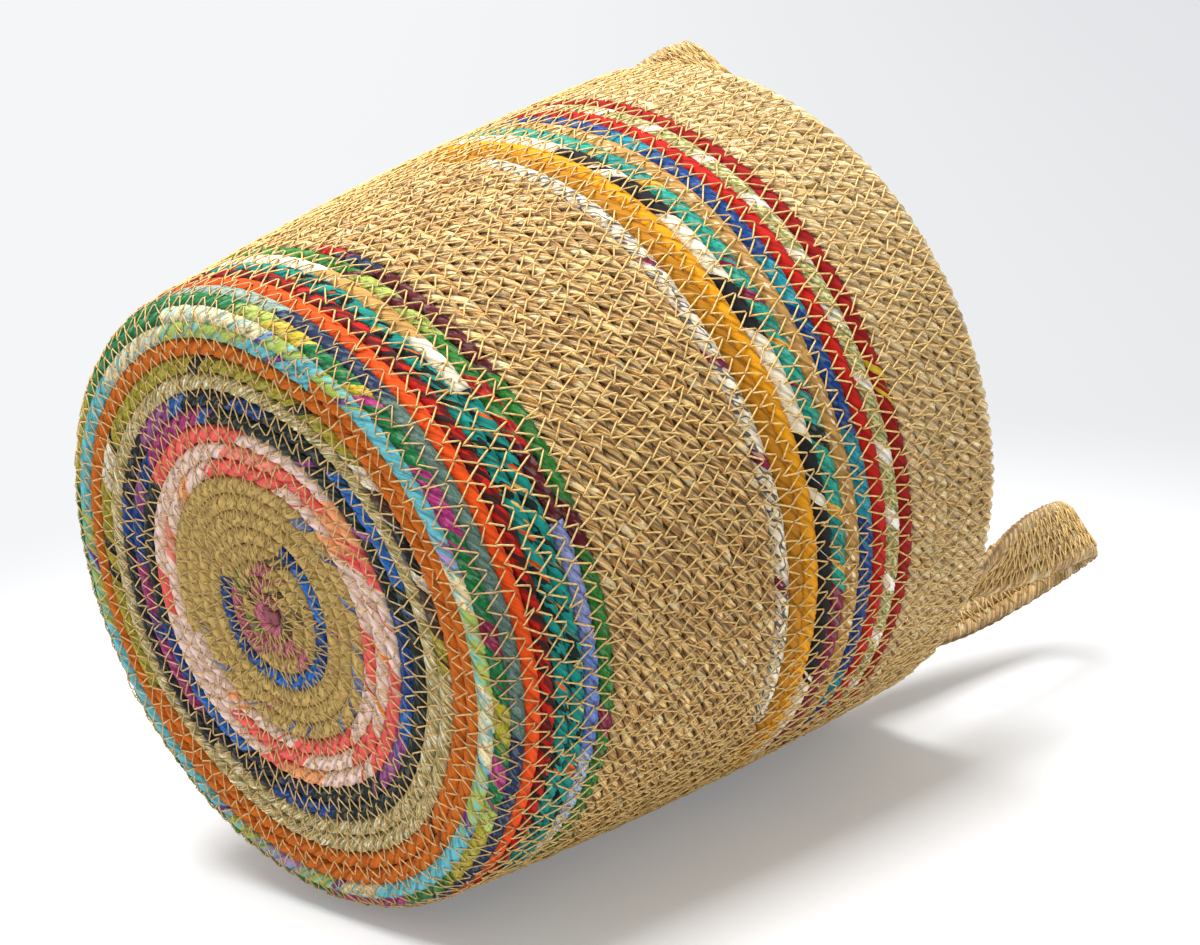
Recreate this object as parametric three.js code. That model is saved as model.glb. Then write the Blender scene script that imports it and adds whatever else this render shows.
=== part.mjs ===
import * as THREE from "three";

// A woven plant pot cover. One long cord, covered in seagrass or in strips of cloth, winds from
// the middle of the base outward and up the wall. Each covering is a piece of its own. Two strap
// handles, each of four rows of cord, are sewn inside the rim and rise above it.
// Millimetres, +Z up. The origin is the middle of the underside, and the handles are at +X and -X.

// Outside of the base and wall
const flatRadius = 94.3;
const cornerRadius = 10.6;
const mouthRadius = 121;
const rimHeight = 221;
// Height at which the slope of the lower wall would reach the width of the mouth
const bendHeight = 127;

// Cord of the base and wall, with the width of a row in each zone
const cordThickness = 5;
const lowerPitch = 5.6;
const bandPitch = 6.42;
const upperPitch = 6.13;
const rowGap = 0.45;
const grooveWidth = 2;
const endGap = 0.3;
const stationsPerTurn = 20;
// Direction round +Z, in degrees, where every whole turn begins. Turns run clockwise from above.
const wholeTurnAngle = -70;

// Folded start in the middle of the base, and the thinned end of the cord at the rim
const knotRadius = 2.8;
const knotSides = 12;
const firstTurn = 1;
const taperTurns = 0.35;
const taperWidth = 3.2;

// Strap handles
const legSpacing = 68;
const archHeight = 98;
const archSquareness = 0.9;
const strapRows = 4;
const strapPitch = 5.9;
const strapThickness = 5;
const footDepth = 24;
const flexRise = 6;
const flexGap = 0.45;
const wedgeLength = 2.5;
const wedgeTip = 0.8;
const twistSharpness = 3.5;
const archSteps = 14;
const archEvenShare = 0.9;
const seatGap = 0.3;
// Direction round +Z of each handle, and its outward lean at rest, in degrees
const facingA = 8;
const facingB = 180;
const leanA = 2;
const leanB = 8;

// Coverings from the middle outward: name, length in turns, colour and roughness
const baseCovers = [
  { name: "centre_khaki_twine", turns: 3.35, colour: 0x9a8350, roughness: 0.9 },
  { name: "base_royal_blue_cloth", turns: 0.75, colour: 0x1c3fa0, roughness: 0.8 },
  { name: "base_threaded_seagrass", turns: 3.38, colour: 0xb89a50, roughness: 0.85 },
  { name: "base_coral_cloth", turns: 2.84, colour: 0xf07868, roughness: 0.8 },
  { name: "base_dark_print_cloth", turns: 2.25, colour: 0x14243c, roughness: 0.8 },
  { name: "base_straw_speckle_cloth", turns: 1.35, colour: 0xb8b080, roughness: 0.85 },
  { name: "base_olive_cloth", turns: 0.59, colour: 0x8a8428, roughness: 0.85 },
  { name: "base_rust_cloth", turns: 1.59, colour: 0xc8641a, roughness: 0.8 },
  { name: "corner_light_blue_cloth", turns: 1.12, colour: 0x70c8d0, roughness: 0.8 },
  { name: "corner_emerald_cloth", turns: 1.13, colour: 0x128a48, roughness: 0.8 },
  { name: "corner_slate_cloth", turns: 1, colour: 0x6e8a80, roughness: 0.8 },
  { name: "lower_orange_cloth", turns: 1, colour: 0xf4560f, roughness: 0.8 },
  { name: "lower_red_slashed_cloth", turns: 1, colour: 0xa8281c, roughness: 0.8 },
  { name: "lower_teal_print_cloth", turns: 1.7, colour: 0x1a5a58, roughness: 0.8 },
  { name: "lower_white_tan_strip", turns: 0.3, colour: 0xe8dcc8, roughness: 0.85 },
  { name: "lower_periwinkle_cloth", turns: 0.63, colour: 0x9a98c8, roughness: 0.8 },
  { name: "lower_maroon_green_cloth", turns: 1.19, colour: 0x5a3a20, roughness: 0.8 },
];
const lowerWallCovers = [
  { name: "lower_wall_seagrass", turns: 12.66, colour: 0xc8a878, roughness: 0.85 },
];
const bandCovers = [
  { name: "band_cream_scribble_cloth", turns: 0.34, colour: 0xe8dcc0, roughness: 0.8 },
  { name: "band_dark_mustard_cloth", turns: 1.18, colour: 0xc98716, roughness: 0.8 },
  { name: "band_bright_mustard_cloth", turns: 1, colour: 0xf2ae12, roughness: 0.8 },
  { name: "band_white_black_cloth", turns: 1, colour: 0xe8e4dc, roughness: 0.8 },
  { name: "band_teal_print_cloth", turns: 1, colour: 0x2fa890, roughness: 0.8 },
  { name: "band_tan_dotted_cloth", turns: 1, colour: 0xc8a070, roughness: 0.8 },
  { name: "band_royal_blue_cloth", turns: 1, colour: 0x1c4aa8, roughness: 0.75 },
  { name: "band_bright_red_cloth", turns: 1, colour: 0xd8221a, roughness: 0.8 },
  { name: "band_pale_green_cloth", turns: 1, colour: 0xc0cca0, roughness: 0.8 },
  { name: "band_dark_red_cloth", turns: 1, colour: 0xa8141c, roughness: 0.8 },
];
const upperWallCover = { name: "upper_wall_seagrass", colour: 0xc8a878, roughness: 0.85 };
const strapColour = 0xd0a870;
const strapRoughness = 0.85;

const startOfLowerWall = firstTurn + turnsIn(baseCovers);
const startOfBand = startOfLowerWall + turnsIn(lowerWallCovers);
const startOfUpperWall = startOfBand + turnsIn(bandCovers);
const stationAngle = (2 * Math.PI) / stationsPerTurn;

const outline = wallOutline();
const outlineLength = outline.getLength();
// Turn at which the upper edge of the cord reaches the rim and the cord begins to thin
const fullTurnsEnd = startOfUpperWall + (outlineLength - rowEdge(startOfUpperWall)) / upperPitch - 0.5;
const lastTurn = fullTurnsEnd + taperTurns;

function turnsIn(covers) {
  return covers.reduce((sum, cover) => sum + cover.turns, 0);
}

function radians(degrees) {
  return THREE.MathUtils.degToRad(degrees);
}

// Outside profile as radius and height: the flat, the round corner, then the flared wall
function wallOutline() {
  const across = mouthRadius - flatRadius;
  const up = bendHeight - cornerRadius;
  const lean = Math.atan2(across, up) - Math.asin(cornerRadius / Math.hypot(across, up));
  const path = new THREE.Path();
  path.moveTo(0, 0);
  path.lineTo(flatRadius, 0);
  path.absarc(flatRadius, cornerRadius, cornerRadius, -Math.PI / 2, -lean, false);
  path.quadraticCurveTo(mouthRadius, bendHeight, mouthRadius, rimHeight);
  return path;
}

// Distance along the outline at which the cord half a turn before and half a turn after meet
function rowEdge(turn) {
  const lower = Math.max(Math.min(turn, startOfBand) - 0.5, 0) * lowerPitch;
  const band = THREE.MathUtils.clamp(turn - startOfBand, 0, startOfUpperWall - startOfBand) * bandPitch;
  const upper = Math.max(turn - startOfUpperWall, 0) * upperPitch;
  return lower + band + upper;
}

// Point at a depth under the outline, moved sideways by a shift along it
function outlinePoint(distance, depth, shift) {
  const share = THREE.MathUtils.clamp(distance / outlineLength, 0, 1);
  const point = outline.getPoint(share);
  const along = outline.getTangent(share);
  const radius = point.x - depth * along.y + shift * along.x;
  const height = point.y + depth * along.x + shift * along.y;
  return new THREE.Vector2(radius, height);
}

// Corners of the cord across its run, in the half plane at this turn's direction
function stationSection(station) {
  const turn = station / stationsPerTurn + wholeTurnAngle / 360;
  const thinning = THREE.MathUtils.clamp((turn - fullTurnsEnd) / taperTurns, 0, 1);
  const low = Math.max(rowEdge(turn - 0.5), knotRadius + seatGap - rowGap / 2);
  const high = THREE.MathUtils.lerp(rowEdge(turn + 0.5), low + taperWidth, thinning);
  const slot = (rowGap + grooveWidth) / 2;
  const corners = [
    outlinePoint(low + slot, 0, 0),
    outlinePoint(high - slot, 0, 0),
    outlinePoint(high, cordThickness, -rowGap / 2),
    outlinePoint(low, cordThickness, rowGap / 2),
  ];
  const angle = -station * stationAngle;
  return corners.map((corner) => {
    return new THREE.Vector3(corner.x * Math.cos(angle), corner.x * Math.sin(angle), corner.y);
  });
}

// Section at any turn: between two stations the cord runs straight, so it lies on their chord
function sectionAt(turn) {
  const station = (turn - wholeTurnAngle / 360) * stationsPerTurn;
  const before = Math.floor(station);
  const beyond = (station - before) * stationAngle;
  const mix = Math.sin(beyond) / (Math.sin(beyond) + Math.sin(stationAngle - beyond));
  const after = stationSection(before + 1);
  return stationSection(before).map((corner, index) => corner.lerp(after[index], mix));
}

// Closed body through a row of sections. Seen from ahead, each section runs anticlockwise.
function loft(sections) {
  const sides = sections[0].length;
  const indices = [];
  for (let ring = 0; ring + 1 < sections.length; ring += 1) {
    for (let side = 0; side < sides; side += 1) {
      const a = ring * sides + side;
      const b = ring * sides + ((side + 1) % sides);
      indices.push(a, b, b + sides, a, b + sides, a + sides);
    }
  }
  const last = (sections.length - 1) * sides;
  for (let side = 1; side + 1 < sides; side += 1) {
    indices.push(0, side + 1, side);
    indices.push(last, last + side, last + side + 1);
  }
  const geometry = new THREE.BufferGeometry().setFromPoints(sections.flat());
  geometry.setIndex(indices);
  geometry.computeVertexNormals();
  return geometry;
}

// Turns at which the cord has a section: its two ends, and each station well inside them
function sectionTurns(start, end) {
  const margin = 0.01 / stationsPerTurn;
  const turns = [start];
  const firstStation = Math.ceil((start + margin - wholeTurnAngle / 360) * stationsPerTurn);
  for (let station = firstStation; ; station += 1) {
    const turn = station / stationsPerTurn + wholeTurnAngle / 360;
    if (turn > end - margin) {
      break;
    }
    turns.push(turn);
  }
  turns.push(end);
  return turns;
}

// Share of a turn that a short length takes up where the cord runs at this turn
function turnShare(length, turn) {
  const reach = Math.max(outlinePoint(rowEdge(turn), cordThickness / 2, 0).x, knotRadius);
  return length / (2 * Math.PI * reach);
}

function coiledCord(start, end) {
  const from = start + turnShare(endGap / 2, start);
  const to = end - turnShare(endGap / 2, end);
  return loft(sectionTurns(from, to).map(sectionAt));
}

// Least distance from the upper inner edge of a turn to the lower inner edge of the next one
function leastTurnGap(start, end) {
  let least = Infinity;
  const line = new THREE.Line3();
  const nearest = new THREE.Vector3();
  for (let turn = start; turn + 1 < end; turn += 0.5 / stationsPerTurn) {
    const edge = sectionAt(turn)[2];
    for (let step = -1; step < 1; step += 1) {
      const next = turn + 1 + step / stationsPerTurn;
      line.set(sectionAt(next)[3], sectionAt(next + 1 / stationsPerTurn)[3]);
      line.closestPointToPoint(edge, true, nearest);
      least = Math.min(least, nearest.distanceTo(edge));
    }
  }
  return least;
}

function material(colour, roughness) {
  return new THREE.MeshStandardMaterial({ color: colour, roughness, metalness: 0 });
}

function namedMesh(name, geometry, finish) {
  const mesh = new THREE.Mesh(geometry, finish);
  mesh.name = name;
  return mesh;
}

function buildKnot() {
  const radius = knotRadius / Math.cos(Math.PI / knotSides) - rowGap / 2;
  const geometry = new THREE.CylinderGeometry(radius, radius, cordThickness, knotSides);
  const knot = namedMesh("centre_start_knot", geometry, material(0x8c7440, 0.9));
  knot.rotation.x = Math.PI / 2;
  knot.position.z = cordThickness / 2;
  return knot;
}

function buildCoil() {
  const coil = new THREE.Group();
  const covers = [...baseCovers, ...lowerWallCovers, ...bandCovers];
  covers.push({ ...upperWallCover, turns: lastTurn - startOfUpperWall });
  let turn = firstTurn;
  let least = Infinity;
  for (const cover of covers) {
    const end = turn + cover.turns;
    const finish = material(cover.colour, cover.roughness);
    coil.add(namedMesh(cover.name, coiledCord(turn, end), finish));
    least = Math.min(least, leastTurnGap(turn, end));
    turn = end;
  }
  console.log(`least gap between turns of one cord: ${least.toFixed(3)} mm`);
  return coil;
}

// Distance from the middle to the flat sided inside of the wall, along the direction that a handle
// faces, at a height given along the outline and at a place beside that direction
function wallSeat(distance, beside, facing) {
  const reach = outlinePoint(distance, cordThickness, 0).x * Math.cos(stationAngle / 2) - seatGap;
  let seat = Infinity;
  for (let side = 0; side < stationsPerTurn; side += 1) {
    const aside = (side + 0.5) * stationAngle - facing;
    if (Math.cos(aside) > 0.5) {
      seat = Math.min(seat, (reach - beside * Math.sin(aside)) / Math.cos(aside));
    }
  }
  return seat;
}

// Six corners across a strap row: along its width and along its thickness
function rowCorners(thickness) {
  const half = (strapPitch - rowGap) / 2;
  const rise = thickness / 2;
  return [
    [half, 0],
    [half / 2, rise],
    [-half / 2, rise],
    [-half, 0],
    [-half / 2, -rise],
    [half / 2, -rise],
  ];
}

function rowOffset(row) {
  return (row - (strapRows - 1) / 2) * strapPitch;
}

const hingeHeight = rimHeight + flexRise;

// Distance from the middle to the line where the strap bends: it clears the wall at both feet
function hingeReach(facing) {
  const left = wallSeat(outlineLength, -legSpacing / 2, facing);
  const right = wallSeat(outlineLength, legSpacing / 2, facing);
  return Math.min(left, right) - strapThickness / 2;
}

// Sewn end of a strap row: it follows the inside of the wall, then meets the flex line
function buildFoot(row, hand, facing) {
  const middle = legSpacing / 2 - rowOffset(row);
  const sections = [];
  for (const depth of [footDepth, footDepth / 2, 0]) {
    const distance = outlineLength - depth;
    const height = outlinePoint(distance, cordThickness, 0).y;
    const section = rowCorners(strapThickness).map(([width, rise]) => {
      const beside = hand * (middle - width);
      const reach = wallSeat(distance, beside, facing) - strapThickness / 2 + hand * rise;
      return new THREE.Vector3(reach, beside, height);
    });
    sections.push(section);
  }
  const hinge = hingeReach(facing);
  const top = rowCorners(strapThickness).map(([width, rise]) => {
    return new THREE.Vector3(hinge + hand * rise, hand * (middle - width), hingeHeight - flexGap);
  });
  sections.push(top);
  return loft(sections);
}

// Share of the way from the top of the arch to its foot at which it has this height
function archShare(height) {
  return Math.acos((height / archHeight) ** (1 / archSquareness)) / (Math.PI / 2);
}

// Middle line of the strap above the flex line, upright, with the flex line through the origin
function archPoint(share) {
  const angle = (share * Math.PI) / 2;
  const height = archHeight * Math.cos(angle) ** archSquareness - flexRise;
  return new THREE.Vector3(0, (legSpacing / 2) * Math.sin(angle), height);
}

// The strap faces the wall at its feet and twists a quarter turn to lie flat at the top
function archSection(share, thickness, offset) {
  const step = 0.0005;
  const ahead = archPoint(share + step).sub(archPoint(share - step)).normalize();
  const outward = new THREE.Vector3(1, 0, 0);
  const inward = ahead.clone().cross(outward);
  const foot = archShare(flexRise);
  const twist = (1 - (Math.abs(share) / foot) ** twistSharpness) * (Math.PI / 2);
  const across = inward.multiplyScalar(Math.cos(twist)).addScaledVector(outward, Math.sin(twist));
  const through = ahead.clone().cross(across);
  return rowCorners(thickness).map(([width, rise]) => {
    return archPoint(share).addScaledVector(across, offset + width).addScaledVector(through, rise);
  });
}

// Row of the strap from flex line to flex line. Its ends narrow to a wedge, so that they can bend.
function buildStrapRow(row) {
  const foot = archShare(flexRise);
  const shoulder = archShare(flexRise + wedgeLength);
  const offset = rowOffset(row);
  const sections = [archSection(-foot, wedgeTip, offset)];
  sections.push(archSection(-shoulder, strapThickness, offset));
  for (let step = 0; step <= archSteps; step += 1) {
    const share = archEvenShare * ((2 * step) / archSteps - 1);
    sections.push(archSection(share, strapThickness, offset));
  }
  sections.push(archSection(shoulder, strapThickness, offset));
  sections.push(archSection(foot, wedgeTip, offset));
  return loft(sections);
}

function buildHandle(letter, facing, lean) {
  const handle = new THREE.Group();
  handle.rotation.z = facing;
  const strap = new THREE.Group();
  strap.position.set(hingeReach(facing), 0, hingeHeight);
  console.log(`handle ${letter} bends ${hingeReach(facing).toFixed(3)} mm from the middle`);
  strap.rotation.y = radians(lean);
  handle.add(strap);
  for (let row = 0; row < strapRows; row += 1) {
    const number = strapRows - row;
    const finish = material(strapColour, strapRoughness);
    strap.add(namedMesh(`handle_${letter}_strap_${number}`, buildStrapRow(row), finish));
    handle.add(namedMesh(`handle_${letter}_right_foot_${number}`, buildFoot(row, 1, facing), finish.clone()));
    handle.add(namedMesh(`handle_${letter}_left_foot_${number}`, buildFoot(row, -1, facing), finish.clone()));
  }
  return handle;
}

const potCover = new THREE.Group();
potCover.add(buildKnot());
potCover.add(buildCoil());
potCover.add(buildHandle("a", radians(facingA), leanA));
potCover.add(buildHandle("b", radians(facingB), leanB));

export default potCover;
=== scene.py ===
"""Looks of the woven plant pot cover: one long sewn cord in many coverings, and two strap handles."""

import logging
import math
from dataclasses import dataclass, field, replace
from enum import Enum
from functools import cached_property

import bpy
import numpy as np
from mathutils import Matrix, Vector


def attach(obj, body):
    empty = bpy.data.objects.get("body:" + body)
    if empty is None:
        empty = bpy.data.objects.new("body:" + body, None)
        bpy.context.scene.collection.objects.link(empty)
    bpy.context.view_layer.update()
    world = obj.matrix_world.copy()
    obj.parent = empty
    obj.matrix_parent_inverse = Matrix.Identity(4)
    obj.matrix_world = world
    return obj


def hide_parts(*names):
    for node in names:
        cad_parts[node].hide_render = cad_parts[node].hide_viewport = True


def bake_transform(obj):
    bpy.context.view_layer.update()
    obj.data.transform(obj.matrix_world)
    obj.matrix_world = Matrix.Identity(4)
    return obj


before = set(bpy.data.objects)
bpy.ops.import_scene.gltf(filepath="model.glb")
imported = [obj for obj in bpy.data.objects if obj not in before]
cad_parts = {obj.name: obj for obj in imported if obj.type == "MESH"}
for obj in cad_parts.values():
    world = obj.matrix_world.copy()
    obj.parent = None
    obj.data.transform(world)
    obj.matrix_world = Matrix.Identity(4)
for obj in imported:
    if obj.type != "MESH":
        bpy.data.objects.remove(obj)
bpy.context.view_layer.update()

logging.basicConfig(level=logging.INFO, format="%(message)s")
log = logging.getLogger("pot_cover")

Array = np.ndarray
Piece = bpy.types.Object
Material = bpy.types.Material
Node = bpy.types.Node
Socket = bpy.types.NodeSocket
Value = Socket | float

FULL_TURN = 2 * math.pi
QUARTER_TURN = math.pi / 2
# Distance round the cord to a radian, in the map "wrap"
ROUND_STEP = 0.0026

# Colours in words, as they look in plain light
TINTS = {
    "black": "#16161A", "black_green": "#16241E", "bright_blue": "#1C6AC0", "bright_red": "#B8160A",
    "brown": "#4A3224", "coral": "#F0645E", "cream": "#E6D6AA", "dark_brown": "#2E1614",
    "dark_mustard": "#B47610", "dark_red": "#98100F", "deep_teal": "#148A80", "emerald": "#0C6E38",
    "gold": "#EFAE34", "green": "#2C7A2A", "grey_blue": "#A8B8D0", "khaki": "#C8A862",
    "lavender": "#8894CC", "light_blue": "#68B8C6", "lilac": "#B08CC4", "lime": "#A8BA54",
    "magenta": "#A82C74", "maroon": "#5A0A16", "mustard": "#E2990A", "navy": "#16284E",
    "off_white": "#EEE5CC", "olive": "#A89E20", "olive_green": "#6C8A26", "orange": "#E44E0A",
    "orange_dab": "#F08428", "orchid": "#94478C", "pale_green": "#D2CE9A", "pale_slate": "#90A89A",
    "peach": "#F6A672", "periwinkle": "#6480C6", "pink_white": "#EED2C8", "purple": "#6E3480",
    "royal": "#043C84", "rust": "#CA660F", "salmon": "#F28A78", "slate": "#567268", "straw": "#C6B47C",
    "tan": "#BF9250", "teal": "#1E9E8A", "turquoise": "#1490A4", "wine": "#84163E", "yellow": "#CFB22E",
}


def linear_colour(tint: str) -> tuple[float, float, float, float]:
    """Turns a name from TINTS, or a hex colour, into linear red, green, blue and alpha.

    Args:
        tint: a key of TINTS, or text such as "#C8A878".

    Returns:
        Four values from 0 to 1, by the sRGB curve.
    """
    text = TINTS.get(tint, tint).lstrip("#")
    shares = np.array([int(text[place:place + 2], 16) for place in (0, 2, 4)]) / 255
    linear = np.where(shares <= 0.04045, shares / 12.92, ((shares + 0.055) / 1.055) ** 2.4)
    return (*linear.tolist(), 1.0)


def along_path(place: Array, run: Array, values: Array) -> Array:
    """Interpolates rows of three values, known at the distances in run, at new distances."""
    return np.stack([np.interp(place, run, values[:, part]) for part in range(3)], axis=1)


def unit_rows(vectors: Array) -> Array:
    """Scales each row to length 1."""
    return vectors / np.linalg.norm(vectors, axis=1, keepdims=True)


def distances_along(points: Array) -> Array:
    """Distance of each point from the first, along the line through all of them."""
    return np.concatenate([[0.0], np.cumsum(np.linalg.norm(np.diff(points, axis=0), axis=1))])


class Print(Enum):
    """What is printed over the ground colour of a covering. Each value names its method of ClothBench."""

    PLAIN = "plain"
    MOTTLED = "mottled"
    CLOUDED = "clouded"
    SPECKLED = "speckled"
    THREADED = "threaded"
    SLASHED = "slashed"
    LEAVES = "leaves"
    DOTTED = "dotted"
    SCRIBBLED = "scribbled"
    PALE_SLASHED = "pale_slashed"


@dataclass(frozen=True)
class Twist:
    """How the plies of a cord lie.

    length is one turn of the plies, ply_share the radius of a ply over that of the cord (1 is round),
    unevenness the spread of ply sizes, and step the distance between rings of the mesh.
    """

    length: float
    ply_share: float
    unevenness: float
    step: float


GRASS_TWIST = Twist(length=0.0180, ply_share=0.56, unevenness=0.085, step=0.00125)
ROPE_TWIST = Twist(length=0.0215, ply_share=0.72, unevenness=0.05, step=0.0016)
SMOOTH_TWIST = Twist(length=0.0250, ply_share=0.88, unevenness=0.035, step=0.0017)
FINE_GRASS_TWIST = Twist(length=0.0135, ply_share=0.58, unevenness=0.07, step=0.00115)
STRAP_TWIST = Twist(length=0.0135, ply_share=0.72, unevenness=0.05, step=0.0012)
TWINE_TWIST = Twist(length=0.0160, ply_share=0.90, unevenness=0.03, step=0.0012)


@dataclass
class Outline:
    """Outside of the basket in half section: flat base, round corner, wall that curves in to the mouth."""

    flat_radius: float = 0.0943
    corner_radius: float = 0.0106
    mouth_radius: float = 0.121
    rim_height: float = 0.221
    bend_height: float = 0.127
    flat_samples: int = 400
    corner_samples: int = 300
    wall_samples: int = 3000
    length: float = field(init=False)

    def __post_init__(self) -> None:
        """Samples the profile: a line, an arc, then a quadratic Bezier curve whose control is the bend."""
        across = self.mouth_radius - self.flat_radius
        up = self.bend_height - self.corner_radius
        lean = math.atan2(across, up) - math.asin(self.corner_radius / math.hypot(across, up))
        corner = np.linspace(-QUARTER_TURN, -lean, self.corner_samples)
        share = np.linspace(0, 1, self.wall_samples)
        corner_r = self.flat_radius + self.corner_radius * np.cos(corner)
        corner_z = self.corner_radius * (1 + np.sin(corner))
        weights = np.stack([(1 - share) ** 2, 2 * share * (1 - share), share**2])
        wall_r = weights.T @ np.array([corner_r[-1], self.mouth_radius, self.mouth_radius])
        wall_z = weights.T @ np.array([corner_z[-1], self.bend_height, self.rim_height])
        flat = np.linspace(0, self.flat_radius, self.flat_samples)[:-1]
        radius = np.concatenate([flat, corner_r[:-1], wall_r])
        height = np.concatenate([np.zeros_like(flat), corner_z[:-1], wall_z])
        steps = np.hypot(np.diff(radius), np.diff(height))
        self.distances = np.concatenate([[0.0], np.cumsum(steps)])
        self.radii = radius
        self.heights = height
        slope_r = np.gradient(radius, self.distances)
        slope_z = np.gradient(height, self.distances)
        size = np.hypot(slope_r, slope_z)
        self.slopes_r = slope_r / size
        self.slopes_z = slope_z / size
        self.length = float(self.distances[-1])

    def at(self, distance: Array, depth: float) -> tuple[Array, ...]:
        """Point under the outline: the profile's point, moved by depth against its outward normal.

        Args:
            distance: distances along the profile from the middle of the base.
            depth: how far under the outside the point lies.

        Returns:
            Radius and height of each point, then radius and height parts of the profile's direction.
        """
        known = (self.radii, self.heights, self.slopes_r, self.slopes_z)
        radius, height, slope_r, slope_z = (np.interp(distance, self.distances, values) for values in known)
        return radius - depth * slope_z, height + depth * slope_r, slope_r, slope_z


@dataclass
class Coil:
    """The one long cord as a path: its turns run clockwise seen from above, from the middle to the rim."""

    outline: Outline
    thickness: float = 0.005
    lower_pitch: float = 0.0056
    band_pitch: float = 0.00642
    upper_pitch: float = 0.00613
    band_start: float = 38.83
    upper_start: float = 48.35
    first_turn: float = 1.0
    knot_edge: float = 0.002875
    whole_turn_angle: float = -70.0
    taper_turns: float = 0.35
    taper_width: float = 0.0032
    slow_waver: float = 0.00040
    slow_waves: int = 4
    slow_drift: float = 0.045
    quick_waver: float = 0.00026
    quick_waves: int = 7
    quick_drift: float = 0.028
    waver_from: float = 0.06
    waver_until: float = 0.03
    samples_per_turn: int = 240
    full_end: float = field(init=False)
    last_turn: float = field(init=False)

    def __post_init__(self) -> None:
        """Finds where the cord reaches the rim, and measures the cord's length at closely spaced turns."""
        room = self.outline.length - float(self.row_edge(np.array(self.upper_start)))
        self.full_end = self.upper_start + room / self.upper_pitch - 0.5
        self.last_turn = self.full_end + self.taper_turns
        count = int((self.last_turn - self.first_turn) * self.samples_per_turn)
        self.known_turns = np.linspace(self.first_turn, self.last_turn, count)
        self.known_lengths = distances_along(self.frames(self.known_turns)[0])

    def row_edge(self, turn: Array) -> Array:
        """Distance along the outline where two rows meet: pitch of each zone times the turns spent in it."""
        lower = np.maximum(np.minimum(turn, self.band_start) - 0.5, 0) * self.lower_pitch
        band = np.clip(turn - self.band_start, 0, self.upper_start - self.band_start) * self.band_pitch
        upper = np.maximum(turn - self.upper_start, 0) * self.upper_pitch
        return lower + band + upper

    def thinning(self, turn: Array) -> Array:
        """Share, from 0 to 1, by which the end of the cord is thinned at a turn."""
        return np.clip((turn - self.full_end) / self.taper_turns, 0, 1)

    def row_edges(self, turn: Array) -> tuple[Array, Array]:
        """Both edges of the row at each turn, with the free start and the thinned end of the cord."""
        low = np.maximum(self.row_edge(turn - 0.5), self.knot_edge)
        full = self.row_edge(turn + 0.5)
        return low, full + (low + self.taper_width - full) * self.thinning(turn)

    def wander(self, turn: Array, distance: Array) -> Array:
        """How far a hand sewn row strays: two slow waves round the wall that turn from row to row."""
        angle = FULL_TURN * turn
        growth = np.clip(distance / self.waver_from, 0, 1)
        growth = growth * np.clip((self.outline.length - distance) / self.waver_until, 0, 1)
        slow = self.slow_waver * np.sin(self.slow_waves * angle + distance / self.slow_drift)
        quick = self.quick_waver * np.sin(self.quick_waves * angle + 2 + distance / self.quick_drift)
        return growth * (slow + quick)

    def frames(self, turn: Array, lift: float = 0.0) -> tuple[Array, ...]:
        """Middle of the cord with its directions: the outline carried round the axis while it moves outward.

        Args:
            turn: turns along the cord.
            lift: distance by which the point is raised outward from the middle of the cord.

        Returns:
            Points, directions across the row toward the rim, outward directions, and half row widths.
        """
        low, high = self.row_edges(turn)
        distance = (low + high) / 2
        distance = distance + self.wander(turn, distance)
        radius, height, slope_r, slope_z = self.outline.at(distance, self.thickness / 2 - lift)
        angle = -FULL_TURN * (turn - self.whole_turn_angle / 360)
        cosine, sine = np.cos(angle), np.sin(angle)
        centre = np.stack([radius * cosine, radius * sine, height], axis=-1)
        across = np.stack([slope_r * cosine, slope_r * sine, slope_z], axis=-1)
        outward = np.stack([slope_z * cosine, slope_z * sine, -slope_r], axis=-1)
        return centre, across, outward, (high - low) / 2

    def length_at(self, turn: Array | float) -> Array:
        """Length of cord from its start to a turn."""
        return np.interp(turn, self.known_turns, self.known_lengths)

    def turn_at(self, length: Array | float) -> Array:
        """Turn that lies at a length of cord from its start."""
        return np.interp(length, self.known_lengths, self.known_turns)


def set_all(thing: object, **settings: object) -> object:
    """Sets several properties of a thing, and gives it back."""
    for key, value in settings.items():
        setattr(thing, key, value)
    return thing


def new_object(name: str, data: bpy.types.ID) -> Piece:
    """Makes an object of some data and links it to the scene."""
    made = bpy.data.objects.new(name, data)
    bpy.context.scene.collection.objects.link(made)
    return made


def mesh_object(name: str, points: Array, faces: list[list[int]]) -> Piece:
    """Puts points and faces into a new smooth shaded object at the origin.

    Args:
        name: name of the piece.
        points: places in metres, one row each.
        faces: corner numbers of each face, anticlockwise seen from outside.

    Returns:
        The object, linked to the scene.
    """
    mesh = bpy.data.meshes.new(name)
    mesh.from_pydata(points.reshape(-1, 3).tolist(), [], faces)
    mesh.polygons.foreach_set("use_smooth", np.ones(len(mesh.polygons), dtype=bool))
    mesh.update()
    return new_object(name, mesh)


def ring_faces(rings: int, sides: int, first: int = 0) -> Array:
    """Four-sided faces between neighbouring rings of points: ring by ring, side by side."""
    ring = np.arange(rings - 1)[:, None]
    side = np.arange(sides)[None, :]
    beside = (side + 1) % sides
    near, far = ring * sides, (ring + 1) * sides
    corners = [near + side, far + side, far + beside, near + beside]
    return first + np.stack(corners, axis=-1).reshape(-1, 4)


def tube_faces(rings: int, sides: int, first: int = 0) -> list[list[int]]:
    """Faces of a tube, ring by ring, with both ends closed. first is the number of its first point."""
    last = first + (rings - 1) * sides
    ends = [list(range(first, first + sides)), list(range(last, last + sides))[::-1]]
    return ring_faces(rings, sides, first).tolist() + ends


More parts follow.
